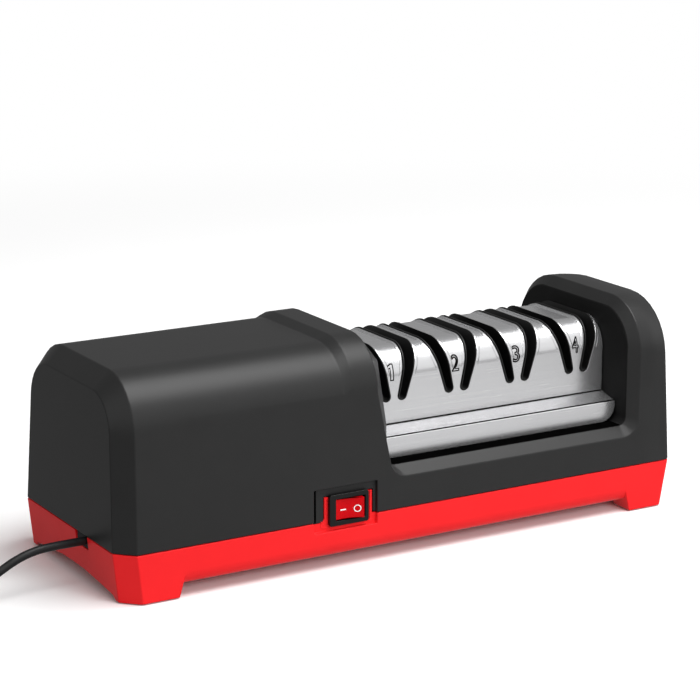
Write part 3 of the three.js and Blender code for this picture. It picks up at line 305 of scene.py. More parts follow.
def merge_flat(merge, angle):
    """Merges points that fall together and dissolves flat areas, in edit mode."""
    bpy.ops.mesh.remove_doubles(threshold=merge * MM)
    bpy.ops.mesh.dissolve_degenerate(threshold=merge * MM)
    bpy.ops.mesh.dissolve_limited(angle_limit=math.radians(angle))


def stand_for(piece, *nodes):
    """The piece rides with the body of the nodes that it replaces."""
    body = frame["nodes"][nodes[0]]["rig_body"]
    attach(piece, body)
    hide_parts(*nodes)
    return piece


def soften(node, name, radius, segments=3, reshape=None, also=None):
    """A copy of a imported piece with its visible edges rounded, which stands for it."""
    mesh = frame["nodes"][node].data.copy()
    piece = bpy.data.objects.new(name, mesh)
    mesh.name = name
    mesh.materials.clear()
    bpy.context.scene.collection.objects.link(piece)
    edit(piece)
    bpy.ops.mesh.customdata_custom_splitnormals_clear()
    merge_flat(0.1, 0.6)
    done()
    if reshape:
        reshape(piece)
    round_seen(piece, 25, radius, segments, also)
    return stand_for(smooth(piece), node)


# %% [markdown]
# ## The power cord
#
# A 3.8 mm round cord leaves the notch in the base's left end, runs straight for a few diameters, sinks to the table
# and then is wound into a small coil in two layers for storage. One smooth curve with a round bevel is the plainest way
# to draw it: the curve is the cord's centre line, so its length can be measured before it is made a mesh. The free
# stretch is a list of points, and the coil comes from a formula: a spiral that runs in on the table and out on top.
# The coil, the plug and the length are a guess, because only the cord's first few centimetres are in the photograph.

# %% Cord
cord_radius = 1.9
coil_centre = Vector((-246.0, 12.1375))
coil_outside = 29.7375
coil_pitch = 4.85
turns_in = 2.75
turns_climbing = 0.5
low_layer = 2.8
points_per_turn = 16
points_per_step = 9

lead_points = [
    (-145.0, -17.6, 20.9), (-150.0, -17.6, 20.9), (-156.0, -17.6, 20.9), (-164.0, -17.6, 20.8),
    (-172.0, -17.6, 20.2), (-180.0, -17.6, 18.1), (-188.0, -17.6, 14.4), (-196.0, -17.6, 9.8),
    (-204.0, -17.6, 6.1), (-213.0, -17.6, 3.8), (-223.0, -17.6, 2.9), (-232.0, -17.6, 2.8), (-239.0, -17.6, 2.8),
]
tail_points = [
    (-253.0, -17.6, 7.55), (-260.0, -17.6, 6.9), (-267.0, -17.4, 5.5), (-277.0, -15.2, 3.8),
    (-287.0, -10.6, 2.9), (-294.6, -3.4, 3.2), (-298.6, 4.0, 4.8), (-300.0, 11.0, 6.6), (-300.0, 18.5, 6.85),
]


def coil_point(turn):
    """A point of the coil's centre line, after so many turns, clockwise from the front."""
    inward = min(turn, turns_in)
    outward = max(turn - turns_in - turns_climbing, 0)
    radius = coil_outside - coil_pitch * (inward - outward)
    climb = min(max((turn - turns_in) / turns_climbing, 0), 1)
    angle = -math.pi / 2 - 2 * math.pi * turn
    x = coil_centre.x + radius * math.cos(angle)
    y = coil_centre.y + radius * math.sin(angle)
    return (x, y, low_layer + coil_pitch * climb)


coil_turns = 2 * turns_in + turns_climbing
coil_count = round(coil_turns * points_per_turn)
coil_points = [coil_point(i / points_per_turn) for i in range(coil_count + 1)]
cord_route = lead_points + coil_points + tail_points

cord_curve = bpy.data.curves.new("power_cord", "CURVE")
cord_curve.dimensions = "3D"
cord_curve.bevel_depth = cord_radius * MM
cord_curve.bevel_resolution = 6
cord_curve.resolution_u = 6
cord_curve.use_fill_caps = True
spline = cord_curve.splines.new("BEZIER")
spline.bezier_points.add(len(cord_route) - 1)
for point, place in zip(spline.bezier_points, cord_route):
    point.co = Vector(place) * MM
    point.handle_left_type = point.handle_right_type = "AUTO"
power_cord = bpy.data.objects.new("power_cord", cord_curve)
bpy.context.scene.collection.objects.link(power_cord)
bpy.context.view_layer.update()
cord_path = []
for start, end in zip(spline.bezier_points[:-1], spline.bezier_points[1:]):
    handles = (start.co, start.handle_right, end.handle_left, end.co)
    cord_path += interpolate_bezier(*handles, points_per_step)[:-1]
cord_path.append(spline.bezier_points[-1].co.copy())
cord_path = [tuple(place) for place in cord_path]
take(power_cord)
bpy.ops.object.convert(target="MESH")
power_cord = bpy.context.object
stand_for(power_cord, "cord_lead", "cord_coil", "cord_tail")

# %% [markdown]
# ## Shader maths as plain expressions
#
# A finish is more than one flat colour: plastic has a fine spark-eroded texture, steel is brushed, rubber is dusty.
# Such patterns are built from nodes, and wires between nodes are tedious to write out. So one small class wraps an
# output socket, and adding or multiplying two of them adds the Math node. Another class holds the node tree
# and has one method that adds any other node.

# %% Wires and finishes
class Wire:
    """An output socket that can be added, multiplied, compared and taken from a number."""

    def __init__(self, finish, socket):
        self.finish, self.socket = finish, socket

    def __add__(self, other):
        return self.finish.maths("ADD", self, other)

    def __rsub__(self, other):
        return self.finish.maths("SUBTRACT", other, self)

    def __mul__(self, other):
        return self.finish.maths("MULTIPLY", self, other)

    def __gt__(self, other):
        return self.finish.maths("GREATER_THAN", self, other)

    def __lt__(self, other):
        return self.finish.maths("LESS_THAN", self, other)

    __radd__, __rmul__ = __add__, __mul__


def colour(code):
    """A colour written as six hexadecimal digits, as linear light with alpha."""
    parts = [int(code[i:i + 2], 16) / 255 for i in (0, 2, 4)]
    return tuple(c / 12.92 if c <= 0.04045 else ((c + 0.055) / 1.055) ** 2.4 for c in parts) + (1.0,)


finishes = {}


class Finish:
    """A node tree with one shader, and the patterns behind it. Those of materials are kept under their names."""

    def __init__(self, name, tree=None, **constants):
        if tree is None:
            self.material = bpy.data.materials.new(name)
            self.material.use_nodes = True
            tree = self.material.node_tree
            self.shader = tree.nodes["Principled BSDF"]
            finishes[name] = self
        self.tree = tree
        for socket, value in constants.items():
            self.set(socket.replace("_", " ").title().replace("Ior", "IOR"), value)

    def set(self, socket, value):
        self.fill(self.shader.inputs[socket], value)

    def fill(self, socket, value):
        if isinstance(value, Wire):
            self.tree.links.new(value.socket, socket)
        else:
            socket.default_value = value

    def node(self, kind, settings=None, values=None, output=0):
        """Adds a node: its settings first, then its sockets, by name or number."""
        node = self.tree.nodes.new(kind)
        for name, value in (settings or {}).items():
            setattr(node, name, value)
        for name, value in (values or {}).items():
            self.fill(node.inputs[name], value)
        return Wire(self, node.outputs[output])

    def maths(self, operation, *values):
        """A Math node on wires or numbers."""
        return self.node("ShaderNodeMath", {"operation": operation}, dict(enumerate(values)))

    def place(self, stretch=(1, 1, 1)):
        """Object coordinates in millimetres, stretched."""
        here = self.node("ShaderNodeTexCoord", output="Object")
        return self.node("ShaderNodeMapping", {}, {"Vector": here, "Scale": [s / MM for s in stretch]})

    def along(self, vector, axis):
        """One part of a vector."""
        return self.node("ShaderNodeSeparateXYZ", {}, {0: vector}, axis)

    def noise(self, size, detail=2, stretch=(1, 1, 1)):
        """Cloudy noise from 0 to 1 with features of a size in millimetres."""
        values = {"Vector": self.place(stretch), "Scale": 1 / size, "Detail": detail}
        return self.node("ShaderNodeTexNoise", {}, values, "Fac")

    def grains(self, size):
        """Distance to the nearest of many grains of a size in millimetres."""
        values = {"Vector": self.place(), "Scale": 1 / size}
        return self.node("ShaderNodeTexVoronoi", {"feature": "F1"}, values, "Distance")

    def blend(self, factor, first, second):
        """A mix of two colours; where the factor is 0 it is the first."""
        settings = {"data_type": "RGBA", "clamp_factor": True}
        return self.node("ShaderNodeMix", settings, {0: factor, 6: first, 7: second}, 2)

    def between(self, wire, low, high):
        """0 below one value of a wire, 1 above another, and a smooth step between."""
        settings = {"interpolation_type": "SMOOTHSTEP", "clamp": True}
        return self.node("ShaderNodeMapRange", settings, {"Value": wire, "From Min": low, "From Max": high})

    def bump(self, height, depth):
        """Relief from a height wire, whose full range is a depth in millimetres."""
        values = {"Height": height, "Distance": depth * MM, "Strength": 1.0}
        self.set("Normal", self.node("ShaderNodeBump", {}, values))


def grey(level):
    return (level, level, level, 1)


def dress(piece, finish):
    """Gives a piece its finish in its material slots."""
    if "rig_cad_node" in piece:
        for row in piece.material_slots:
            row.material = finishes[finish].material
    else:
        piece.data.materials.clear()
        piece.data.materials.append(finishes[finish].material)
    return piece


# %% [markdown]
# ## Moulded plastics
#
# The body is moulded in a steel tool whose surface was eroded by sparks, which leaves a very fine, even pebble that
# takes the mirror out of the gloss. It is far too small to model, so it is a bump: a fine noise a third of a
# millimetre across, over a slow one for the slight waviness that all mouldings have. The roughness varies a little with
# the same noise, as it does where hands have polished it.

# %% Black, red and dark plastics
def plastic(name, shade, worn, roughness, pebble=0.35, relief=0.012, gloss=0.4):
    """Spark-eroded plastic: a shade, the same shade where it is rubbed, and the depth of its pebble."""
    finish = Finish(name, roughness=roughness, specular_ior_level=gloss)
    fine = finish.noise(pebble, 2)
    slow = finish.noise(18, 3)
    finish.set("Base Color", finish.blend(slow, colour(shade), colour(worn)))
    finish.set("Roughness", roughness - 0.05 + fine * 0.06 + slow * 0.05)
    finish.bump(fine + slow * 1.5, relief)
    return finish


black = plastic("black_plastic", "212121", "262626", 0.40, gloss=0.26)
plastic("red_plastic", "f7262a", "ee2226", 0.38, pebble=0.5, relief=0.006, gloss=0.14)
plastic("guide_plastic", "0d0d0d", "131313", 0.42, relief=0.010)
plastic("switch_plastic", "0c0c0c", "101010", 0.38, relief=0.006, gloss=0.25)
plastic("rocker_plastic", "d0000c", "c2000a", 0.32, relief=0.004, gloss=0.12)
plastic("mark_white", "f4f4f2", "ffffff", 0.45, relief=0.003)
# the same near-black ink prints the digits and, as painted shade, draws the dark lines along the cover's folds
plastic("ink_and_fold_shade", "0b0b0b", "121212", 0.85, relief=0.004, gloss=0.0)
print("plastics:", sorted(finishes))

# %% The bay's walls get painted shade
# Inside the bay the black is painted darker, as painted shade in the recess, and its roughness is raised, so that it
# is also duller.
bay_shade_box = ((-11.3, 126.3), (-50.9, 50.9), (43.3, 100.1))


def inside(finish, box):
    """1 inside a box in millimetres, and 0 outside it."""
    here = finish.node("ShaderNodeTexCoord", output="Object")
    mask = 1.0
    for axis, (low, high) in zip("XYZ", box):
        place = finish.along(here, axis)
        mask = (place > low * MM) * (place < high * MM) * mask
    return mask


def rewire(finish, socket, change):
    """Replaces what feeds a socket by a change of it."""
    link = finish.shader.inputs[socket].links[0]
    finish.set(socket, change(Wire(finish, link.from_socket)))


# painted shade: the black turns darker inside the bay's box
bay = inside(black, bay_shade_box)
rewire(black, "Base Color", lambda shade: black.blend(bay, shade, colour("060606")))
rewire(black, "Roughness", lambda gloss: gloss + bay * 0.3)

# %% [markdown]
# ## Metals
#
# The cover is stainless sheet, brushed lengthwise and then polished: the lines run along X, are hair-fine and
# short, and show as slight changes in gloss more than in colour. Noise stretched 50 to 80 times along X does that.
# The plated and cast metals inside share one recipe with other colours: cloudy colour and some roughness.

# %% Steel, zinc, copper, brass and nickel
steel = Finish("cover_steel", metallic=0.88)
hairs = steel.noise(0.16, 2, stretch=(0.012, 1, 1))
strands = steel.noise(1.1, 2, stretch=(0.02, 1, 1))
steel.set("Base Color", steel.blend(strands, colour("d4d4d6"), colour("dededf")))
steel.set("Roughness", 0.20 + hairs * 0.06 + strands * 0.05)
steel.bump(hairs + strands * 0.4, 0.0006)


def metal(name, shade, tarnish, roughness, spot=6.0, relief=0.01, metallic=1.0):
    """Plated or cast metal with cloudy tarnish and fine pits."""
    finish = Finish(name, metallic=metallic)
    cloud = finish.noise(spot, 3)
    pits = finish.noise(0.5, 2)
    finish.set("Base Color", finish.blend(finish.between(cloud, 0.3, 0.75), colour(shade), colour(tarnish)))
    finish.set("Roughness", roughness + cloud * 0.16 + pits * 0.05)
    finish.bump(pits + cloud, relief)


metal("zinc_steel", "b9bcbf", "9fa5a6", 0.26)
metal("rotor_copper", "b5673f", "8f4f31", 0.34, spot=2.5)
metal("brass", "c9a45a", "ad8a4a", 0.28)
metal("pin_nickel", "cfcdc8", "bdbbb5", 0.16, spot=9, relief=0.004)
metal("ferrite", "3a3b3d", "2c2d2f", 0.55, spot=1.6, relief=0.03, metallic=0.15)
print("metals:", len(finishes))

# %% [markdown]
# ## Abrasive, board, rubber and wire
#
# The grinding discs carry diamond grit in a nickel bond: sharp pale specks on grey, which a cell pattern gives. The
# last pair is a pale resin-bonded polishing wheel with a finer and softer speckle. The circuit board is
# woven glass cloth under green lacquer, which two crossed stripes imitate. Rubber and cord jacket are matt, with
# faint dust.

# %% Abrasive and polishing discs
def grit(name, bond, grain, size, rough, relief):
    """Grains of one colour in a bond of another."""
    finish = Finish(name)
    speck = 1 - finish.grains(size)
    cloud = finish.noise(4, 3)
    finish.set("Base Color", finish.blend(finish.between(speck, 0.35, 0.8), colour(bond), colour(grain)))
    finish.set("Roughness", rough + cloud * 0.12)
    finish.set("Metallic", finish.between(speck, 0.5, 0.9) * 0.3)
    finish.bump(speck, relief)


grit("abrasive", "6f7274", "b8bcc0", 0.22, 0.45, 0.06)
grit("polishing", "b9a48a", "d8c8b2", 0.35, 0.62, 0.04)

# %% Board, rubber, cord and wires
board = Finish("board")
warp, weft = (
    board.node("ShaderNodeTexWave", {"bands_direction": axis}, {"Vector": board.place(), "Scale": 0.9}, "Fac")
    for axis in "XY"
)
board.set("Base Color", board.blend(warp * weft, colour("2c5a3a"), colour("4f8055")))
board.set("Roughness", 0.32 + weft * 0.1)
board.bump(warp + weft, 0.03)


def rubber(name, shade, dust, roughness, relief=0.02):
    """Matt rubber or cord jacket with a little pale dust."""
    finish = Finish(name, specular_ior_level=0.35)
    fine = finish.noise(0.4, 3)
    dusty = finish.between(finish.noise(7, 4), 0.45, 0.85)
    finish.set("Base Color", finish.blend(dusty, colour(shade), colour(dust)))
    finish.set("Roughness", roughness + dusty * 0.12 + fine * 0.05)
    finish.bump(fine, relief)


rubber("pad_rubber", "1e1e1f", "2a2a2a", 0.72)
rubber("cord_rubber", "141415", "1e1e1f", 0.40, relief=0.008)
# painted shade: near-black matt rubber without gloss, for the pieces that stand for shade in the bay and the switch's
# recess
rubber("painted_shade_rubber", "040404", "070707", 0.85)
finishes["painted_shade_rubber"].set("Specular IOR Level", 0.0)
rubber("wire_brown", "5b3420", "6b4330", 0.45, relief=0.01)
rubber("wire_blue", "2f5f9e", "4070ab", 0.45, relief=0.01)

# %% [markdown]
# ## The two halves of the body
#
# The upper housing and the base are mouldings with radii, chamfers, a bay and a skirt, all already in the packed
# model. Modelling them again by hand would only risk a misfit, so they become softened copies: half a millimetre
# of radius on each visible edge, which is what such a tool has. A few forms are first moved or cut a little closer to
# the photograph: the step up to the collar, the bay's left rim, the right end, and the switch's recess.

# %% Housing, base and the cord
edge_radius = 0.5
thin_radius = 0.12
ramp_foot = -41.0
ramp_head = -31.0
ramp_foot_seen = -36.0
ramp_lowest = 76.0


def shorten_ramp(piece):
    """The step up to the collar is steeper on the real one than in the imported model."""
    pick(piece, "VERT", lambda point: abs(point.co.x / MM - ramp_foot) < 0.01)
    bpy.ops.transform.translate(value=((ramp_foot_seen - ramp_foot) * MM, 0, 0))
    done()


def on_ramp(edge):
    """Edges across the body at either end of the step, on the outside."""
    places = [point.co / MM for point in edge.verts]
    level = any(all(abs(place.x - x) < 0.01 for place in places) for x in (ramp_foot_seen, ramp_head))
    return level and edge.calc_face_angle(0) > math.radians(4) and all(place.z > ramp_lowest for place in places)


bay_left = -10.8
rim_foot, rim_head = 47.6, 79.8
rim_before_foot, rim_before_head = 0.7, 7.7
rim_reach = 4.0
rim_furthest = -16.0
rim_cuts = (((0, -42.5, 0), (0, 1, 0)), ((0, 42.5, 0), (0, 1, 0)), ((0, 0, 91.5), (0, 0, 1)))


def open_collar(piece):
    """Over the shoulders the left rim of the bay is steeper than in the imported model."""

    def across(face):
        return face.calc_center_median().x / MM

    for place, normal in rim_cuts:
        pick(piece, "FACE", lambda face: face.normal.x > 0.99 and abs(across(face) - bay_left) < 0.01)
        bpy.ops.mesh.bisect(plane_co=Vector(place) * MM, plane_no=normal)
        done()
    mesh = bmesh.new()
    mesh.from_mesh(piece.data)
    mesh.normal_update()
    moved = 0
    for point in mesh.verts:
        on_rim = any(0.15 < face.normal.x < 0.97 for face in point.link_faces)
        if on_rim and abs(point.co.x / MM - bay_left) < 0.01:
            share = min(max((point.co.z / MM - rim_foot) / (rim_head - rim_foot), 0), 1)
            before = rim_before_foot + share * (rim_before_head - rim_before_foot)
            point.co.x = min(bay_left, bay_left - before + rim_reach) * MM
            moved += 1
    mesh.to_mesh(piece.data)
    mesh.free()
    pick(piece, "FACE", lambda face: face.normal.x > 0.7 and rim_furthest < across(face) < bay_left - 0.001)
    bpy.ops.mesh.quads_convert_to_tris(ngon_method="BEAUTY")
    done()
    print("rim points moved:", moved)


end_start, end_tip, end_growth = 130.8, 148.8, 2.0
growth_foot, growth_full = 8.0, 23.4


def stretch_end(piece):
    """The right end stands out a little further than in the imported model."""
    for point in piece.data.vertices:
        place = point.co / MM
        along = max((place.x - end_start) / (end_tip - end_start), 0)
        up = min(max((place.z - growth_foot) / (growth_full - growth_foot), 0), 1)
        point.co.x += end_growth * along * up * MM


recess = ((-52.0, -60.0, 18.3), (-18.6, -53.6, 38.9))
# the place of a strip of painted shade in the switch's recess
recess_shade_box = ((-51.97, -54.9, 23.5), (-50.7, -53.65, 38.85))
housing_cuts = (
    ("DIFFERENCE", recess),
    ("UNION", ((-53.0, -53.6, 22.0), (-46.0, -51.8, 40.0))),        # the floor at the recess's left
    ("UNION", ((-47.5, -53.6, 34.6), (-17.6, -51.8, 40.0))),        # the floor at its top
    ("DIFFERENCE", ((-21.9, -54.5, 20.0), (-19.9, -50.5, 34.6))),   # room for the tab's right edge
)
base_cuts = (
    ("DIFFERENCE", recess),
    ("UNION", ((-21.9, -53.6, 12.0), (-20.2, -51.2, 34.3))),        # the tab's right edge
    ("DIFFERENCE", ((-48.0, -54.5, 23.7), (-45.7, -50.5, 40.0))),   # what the tab has too much at its left
    ("DIFFERENCE", ((-48.0, -54.5, 34.3), (-19.0, -50.5, 40.0))),   # and at its top
)


def cut_blocks(piece, cuts):
    for operation, corners in cuts:
        carve(piece, block("tool", *corners), operation)


def shape_housing(piece):
    shorten_ramp(piece)
    open_collar(piece)
    stretch_end(piece)
    cut_blocks(piece, housing_cuts)


def shape_base(piece):
    stretch_end(piece)
    cut_blocks(piece, base_cuts)


dress(soften("housing", "upper_housing", edge_radius, reshape=shape_housing, also=on_ramp), "black_plastic")
dress(soften("base", "base_tray", edge_radius, reshape=shape_base), "red_plastic")
dress(power_cord, "cord_rubber")
# A thin near-black strip in the left corner of the switch's recess is painted shade: it stands for the dark line of
# shade along that edge.
shade_strip = block("recess_shade_strip", *recess_shade_box)
round_edges(shade_strip, lambda edge: faces_turn(edge, 60), thin_radius, 2)
dress(smooth(shade_strip), "painted_shade_rubber")
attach(shade_strip, "case")

# %% [markdown]
# ## The steel guide cover: folding the sheet
#
# The bright cover is one sheet of 1 mm steel, folded lengthwise: a flat top, two wide rolled shoulders, upright
# faces, a narrow sloping ledge and a flange. On the bench it would be bent round formers. Here a plane is laid
# at the height of the top, its long edges are drawn down to each fold in turn, and the folds are rounded by a bevel of
# the former's radius. A Solidify modifier then gives the sheet its thickness.

# %% Sheet profile
axis_y = -3.2
cover_left, cover_right = -10.5, 125.5
cover_top = 92.4
cover_foot = 43.8
face_reach = 28.1
flange_reach = 39.4
ledge_high = 56.663
ledge_low = 54.096
shoulder_radius = 13.5
shoulder_segments = 24
sheet_thickness = 1.0
cut_edge_radius = 0.3
fold_at_ledge, fold_at_flange = 0.5, 0.9


def folded_sheet(name, top, flange=True):
    """The folded profile without thickness, with its shoulders at a chosen height."""
    bpy.ops.object.select_all(action="DESELECT")
    bpy.ops.mesh.primitive_plane_add(
        size=1, location=((cover_left + cover_right) / 2 * MM, axis_y * MM, top * MM)
    )
    sheet = placed(name, ((cover_right - cover_left) * MM, 2 * face_reach * MM, 1))
    folds = [(0, ledge_high - top)]
    if flange:
        folds += [(flange_reach - face_reach, ledge_low - ledge_high), (0, cover_foot - ledge_low)]
    for side in (-1, 1):
        def long_rim(edge):
            out = side * (middle_of(edge).y / MM - axis_y)
            return edge.is_boundary and out > face_reach - 0.1 and runs_along(0)(edge)

        pick(sheet, "EDGE", long_rim)
        for out, down in folds:
            bpy.ops.mesh.extrude_region_move(TRANSFORM_OT_translate={"value": (0, side * out * MM, down * MM)})
    done()
    return sheet


def fold(sheet, reach, height, offset, segments):
    """Rounds the two lengthwise folds at one distance from the middle and one height."""

    def here(edge):
        place = middle_of(edge) / MM
        return abs(abs(place.y - axis_y) - reach) < 0.05 and abs(place.z - height) < 0.05

    pick(sheet, "EDGE", lambda edge: runs_along(0)(edge) and here(edge))
    bevel(offset, segments, "SHARP")
    done()


def thicken(sheet, thickness):
    """Points the faces outwards and gives the sheet its thickness inwards."""
    edit(sheet)
    leave(sheet)
    if max(sheet.data.polygons, key=lambda face: face.center.z).normal.z < 0:
        sheet.data.flip_normals()
    modify(sheet, "SOLIDIFY", thickness=thickness * MM, offset=-1, use_even_offset=True)


sheet = folded_sheet("guide_cover_steel", cover_top)
fold(sheet, face_reach, cover_top, shoulder_radius, shoulder_segments)
fold(sheet, face_reach, ledge_high, fold_at_ledge, 3)
fold(sheet, flange_reach, ledge_low, fold_at_flange, 5)
thicken(sheet, sheet_thickness)
print("sheet folded:", [round(value * 1000, 1) for value in sheet.dimensions])

# %% [markdown]
# ## Rims, slots and corners of the cover
#
# A knife slot is a tapered opening with a round foot: the edge towards the middle of its stage leans 11.8 degrees, the
# other one 17.7. Eight of them are punched right through both faces. A cube is cut along both leaning edges with
# Bisect and its foot is rounded, and one such tool, grown or shrunk, serves for the slots, for the raised rims
# round them and for the guides that line them. The rims are pressed up from the sheet, highest on the top.

# %% Slot tool
slot_foot = 70.0
slot_offset = 4.4
slot_radius = 2.5
slot_lean = (math.radians(11.8), math.radians(17.7))
stage_places = (5.15, 40.05, 74.95, 109.85)
slot_top = 110.0
slot_reach = 30.0
tool_left, tool_right = -25, 40
rim_height = 0.6
rim_width = 1.5
corner_radius = 8.0
corner_reach, corner_top = 45, 120


def slot_tool(middle, side, grow):
    """A tapered tool with a round foot, for one slot of the stage at some middle."""
    radius = slot_radius + grow
    low = slot_foot - radius
    tool = block("slot_tool", (tool_left, axis_y - slot_reach, low), (tool_right, axis_y + slot_reach, slot_top))
    ends = (math.pi - slot_lean[0], 2 * math.pi - slot_lean[1])
    for angle, lean, outward in zip(ends, slot_lean, (-1, 1)):
        place = (slot_offset + radius * math.cos(angle), 0, slot_foot + radius * math.sin(angle))
        cut_off(tool, place, (outward * math.cos(lean), 0, -outward * math.sin(lean)))
    done()
    for outward in (-1, 1):
        def foot_edge(edge):
            place = middle_of(edge) / MM
            return runs_along(1)(edge) and abs(place.z - low) < 0.001 and outward * (place.x - slot_offset) > 0.5

        pick(tool, "EDGE", foot_edge)
        mesh = bmesh.from_edit_mesh(tool.data)
        offset = max(abs(middle_of(edge).x / MM - slot_offset) for edge in mesh.edges if edge.select)
        bevel(offset, 8, "SHARP")
        done()
    edit(tool)
    bpy.ops.mesh.remove_doubles(threshold=0.002 * MM)
    leave(tool)
    tool.data.transform(Matrix.Scale(side, 4, (1, 0, 0)))
    tool.data.transform(Matrix.Translation((middle * MM, 0, 0)))
    if side < 0:
        tool.data.flip_normals()
    return tool


# %% Cover cut to shape
corner_block = block(
    "corner_block", (cover_left, axis_y - corner_reach, cover_foot), (cover_right, axis_y + corner_reach, corner_top)
)
round_edges(corner_block, lambda edge: runs_along(1)(edge) and middle_of(edge).z < 50 * MM, corner_radius, 12)
carve(sheet, corner_block, "INTERSECT")

slot_places = [(middle, side) for middle in stage_places for side in (-1, 1)]
raised = folded_sheet("raised_sheet", cover_top + rim_height, flange=False)
fold(raised, face_reach, cover_top + rim_height, shoulder_radius, shoulder_segments)
thicken(raised, sheet_thickness + rim_height)
for middle, side in slot_places:
    rim = twin_of(raised, "rim")
    carve(rim, slot_tool(middle, side, rim_width), "INTERSECT")
    carve(sheet, rim, "UNION")
bpy.data.objects.remove(raised)
for middle, side in slot_places:
    carve(sheet, slot_tool(middle, side, 0.0))
edit(sheet)
merge_flat(0.005, 0.3)
leave(sheet)
print("cover:", len(sheet.data.polygons), "faces,", len([1 for e in sheet.data.edges if e.is_loose]), "loose edges")

# %% Cover finished
round_seen(sheet, 40, cut_edge_radius, 2)
stand_for(dress(smooth(sheet), "cover_steel"), "guide_cover")

# %% Painted shade along the folds
# Two thin near-black rods along the folds of the cover's face are painted shade: they stand for the dark crease lines
# there.
line_radius = 0.36
line_end_gap = 0.4
fold_lines = ((face_reach + 0.10, ledge_high + 0.10), (flange_reach - 0.55, ledge_low))
for number, (out, height) in enumerate(fold_lines, start=1):
    for side, end in ((-1, "front"), (1, "rear")):
        tips = [(x, axis_y + side * out, height) for x in (cover_left + line_end_gap, cover_right - line_end_gap)]
        line = rod(f"fold_line_{end}_{number}", line_radius, *tips, sides=12)
        dress(smooth(line, 40), "ink_and_fold_shade")
        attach(line, "case")

# %% [markdown]
# ## A frame of painted shade under the cover
#
# A black band in front of the cover's flange is painted shade: the gap there lies in shadow, and a thin frame of
# near-black matt rubber is laid on the floor of the bay to draw it. It is a thin block with rounded corners, with its
# middle cut out.

# %% Painted shade frame
shade_frame_low, shade_frame_high = (bay_left + 0.1, -50.4, 43.35), (125.7, 44.5, 43.75)
shade_frame_corner = 1.5
opening_gap, opening_half = 1.2, 38.2
opening_low = (cover_left + opening_gap, axis_y - opening_half, 43)
opening_high = (cover_right - opening_gap, axis_y + opening_half, 44)
shade_frame = block("bay_painted_shade", shade_frame_low, shade_frame_high)
round_edges(shade_frame, runs_along(2), shade_frame_corner, 5)
carve(shade_frame, block("middle", opening_low, opening_high))
round_edges(shade_frame, lambda edge: middle_of(edge).z > 43.7 * MM and faces_turn(edge, 60), thin_radius, 2)
# painted shade: a near-black frame where the gap in front of the flange lies in shadow
dress(smooth(shade_frame), "painted_shade_rubber")
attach(shade_frame, "case")

# %% [markdown]
# ## Knife guides
#
# Under each pair of slots sits a block of black plastic whose lips stand up through the slots, so that a blade never
# touches the steel. It is a block with rolled shoulders, two lips cut from the same slot tool, two channels for the
# blade, and a round room for the grinding discs. All four are alike: one is modelled, the others are copies.

# %% Guides
guide_half = 14.35
guide_foot = 61.0
guide_reach, guide_top, guide_radius = 26.8, 91.1, 12.2
lip_proud, lip_top, lip_radius = 0.5, 93.5, 14.0
lip_shrink, channel_shrink = 0.3, 0.8
disc_room_radius, disc_room_half = 21.5, 5.5
axis_z = 52


def shoulder_block(name, reach, top, radius):
    """A block across one stage, with its two upper long edges rolled."""
    piece = block(name, (-guide_half, axis_y - reach, guide_foot), (guide_half, axis_y + reach, top))
    return round_edges(piece, lambda edge: runs_along(0)(edge) and middle_of(edge).z > 80 * MM, radius, 20)


guide = shoulder_block("knife_guide_black_1", guide_reach, guide_top, guide_radius)
for side in (-1, 1):
    lip = shoulder_block("lip", face_reach + lip_proud, lip_top, lip_radius)
    carve(lip, slot_tool(0, side, -lip_shrink), "INTERSECT")
    carve(guide, lip, "UNION")
for side in (-1, 1):
    carve(guide, slot_tool(0, side, -channel_shrink))
room_ends = [(side * disc_room_half, axis_y, axis_z) for side in (-1, 1)]
carve(guide, rod("disc_room", disc_room_radius, *room_ends, sides=64))
edit(guide)
bpy.ops.mesh.remove_doubles(threshold=0.005 * MM)
bpy.ops.mesh.dissolve_limited(angle_limit=math.radians(0.3))
leave(guide)
round_seen(guide, 40, thin_radius, 2)
smooth(guide)

guides = [guide] + [twin_of(guide, f"knife_guide_black_{number}") for number in range(2, len(stage_places) + 1)]
for number, (piece, place) in enumerate(zip(guides, stage_places), start=1):
    piece.data.transform(Matrix.Translation((place * MM, 0, 0)))
    stand_for(dress(piece, "guide_plastic"), f"knife_guide_{number}")
print("guides:", [piece.name for piece in guides], len(guide.data.polygons), "faces each")

# %% [markdown]
# ## Printed digits
#
# Each stage carries its number, printed as a thin dark outline that climbs over the shoulder between two slots. A text
# object turned into a mesh gives the digit's shape, its boundary turned into a curve gives the outline, and a fine
# round bevel, pressed flat, draws it in ink. The 1 is plainer than in the font, so its outline is a short list of
# corners. The flat print is then laid over the folded profile: height along the sheet becomes a place on the face or
# round the shoulder.

# %% Digits
digit_height = 8.5
digit_width = 4.4
digit_foot = 77.8
digit_shift = -0.9
ink_rise = 0.03
ink_thickness = 0.16
line_width = 0.75
print_step = 0.5
shoulder_foot = cover_top - shoulder_radius
one_outline = (
    (-1.2, 0.0), (0.4, 0.0), (0.4, 7.8), (-0.8, 7.8), (-2.9, 6.6), (-2.9, 5.2), (-1.2, 6.0),
)


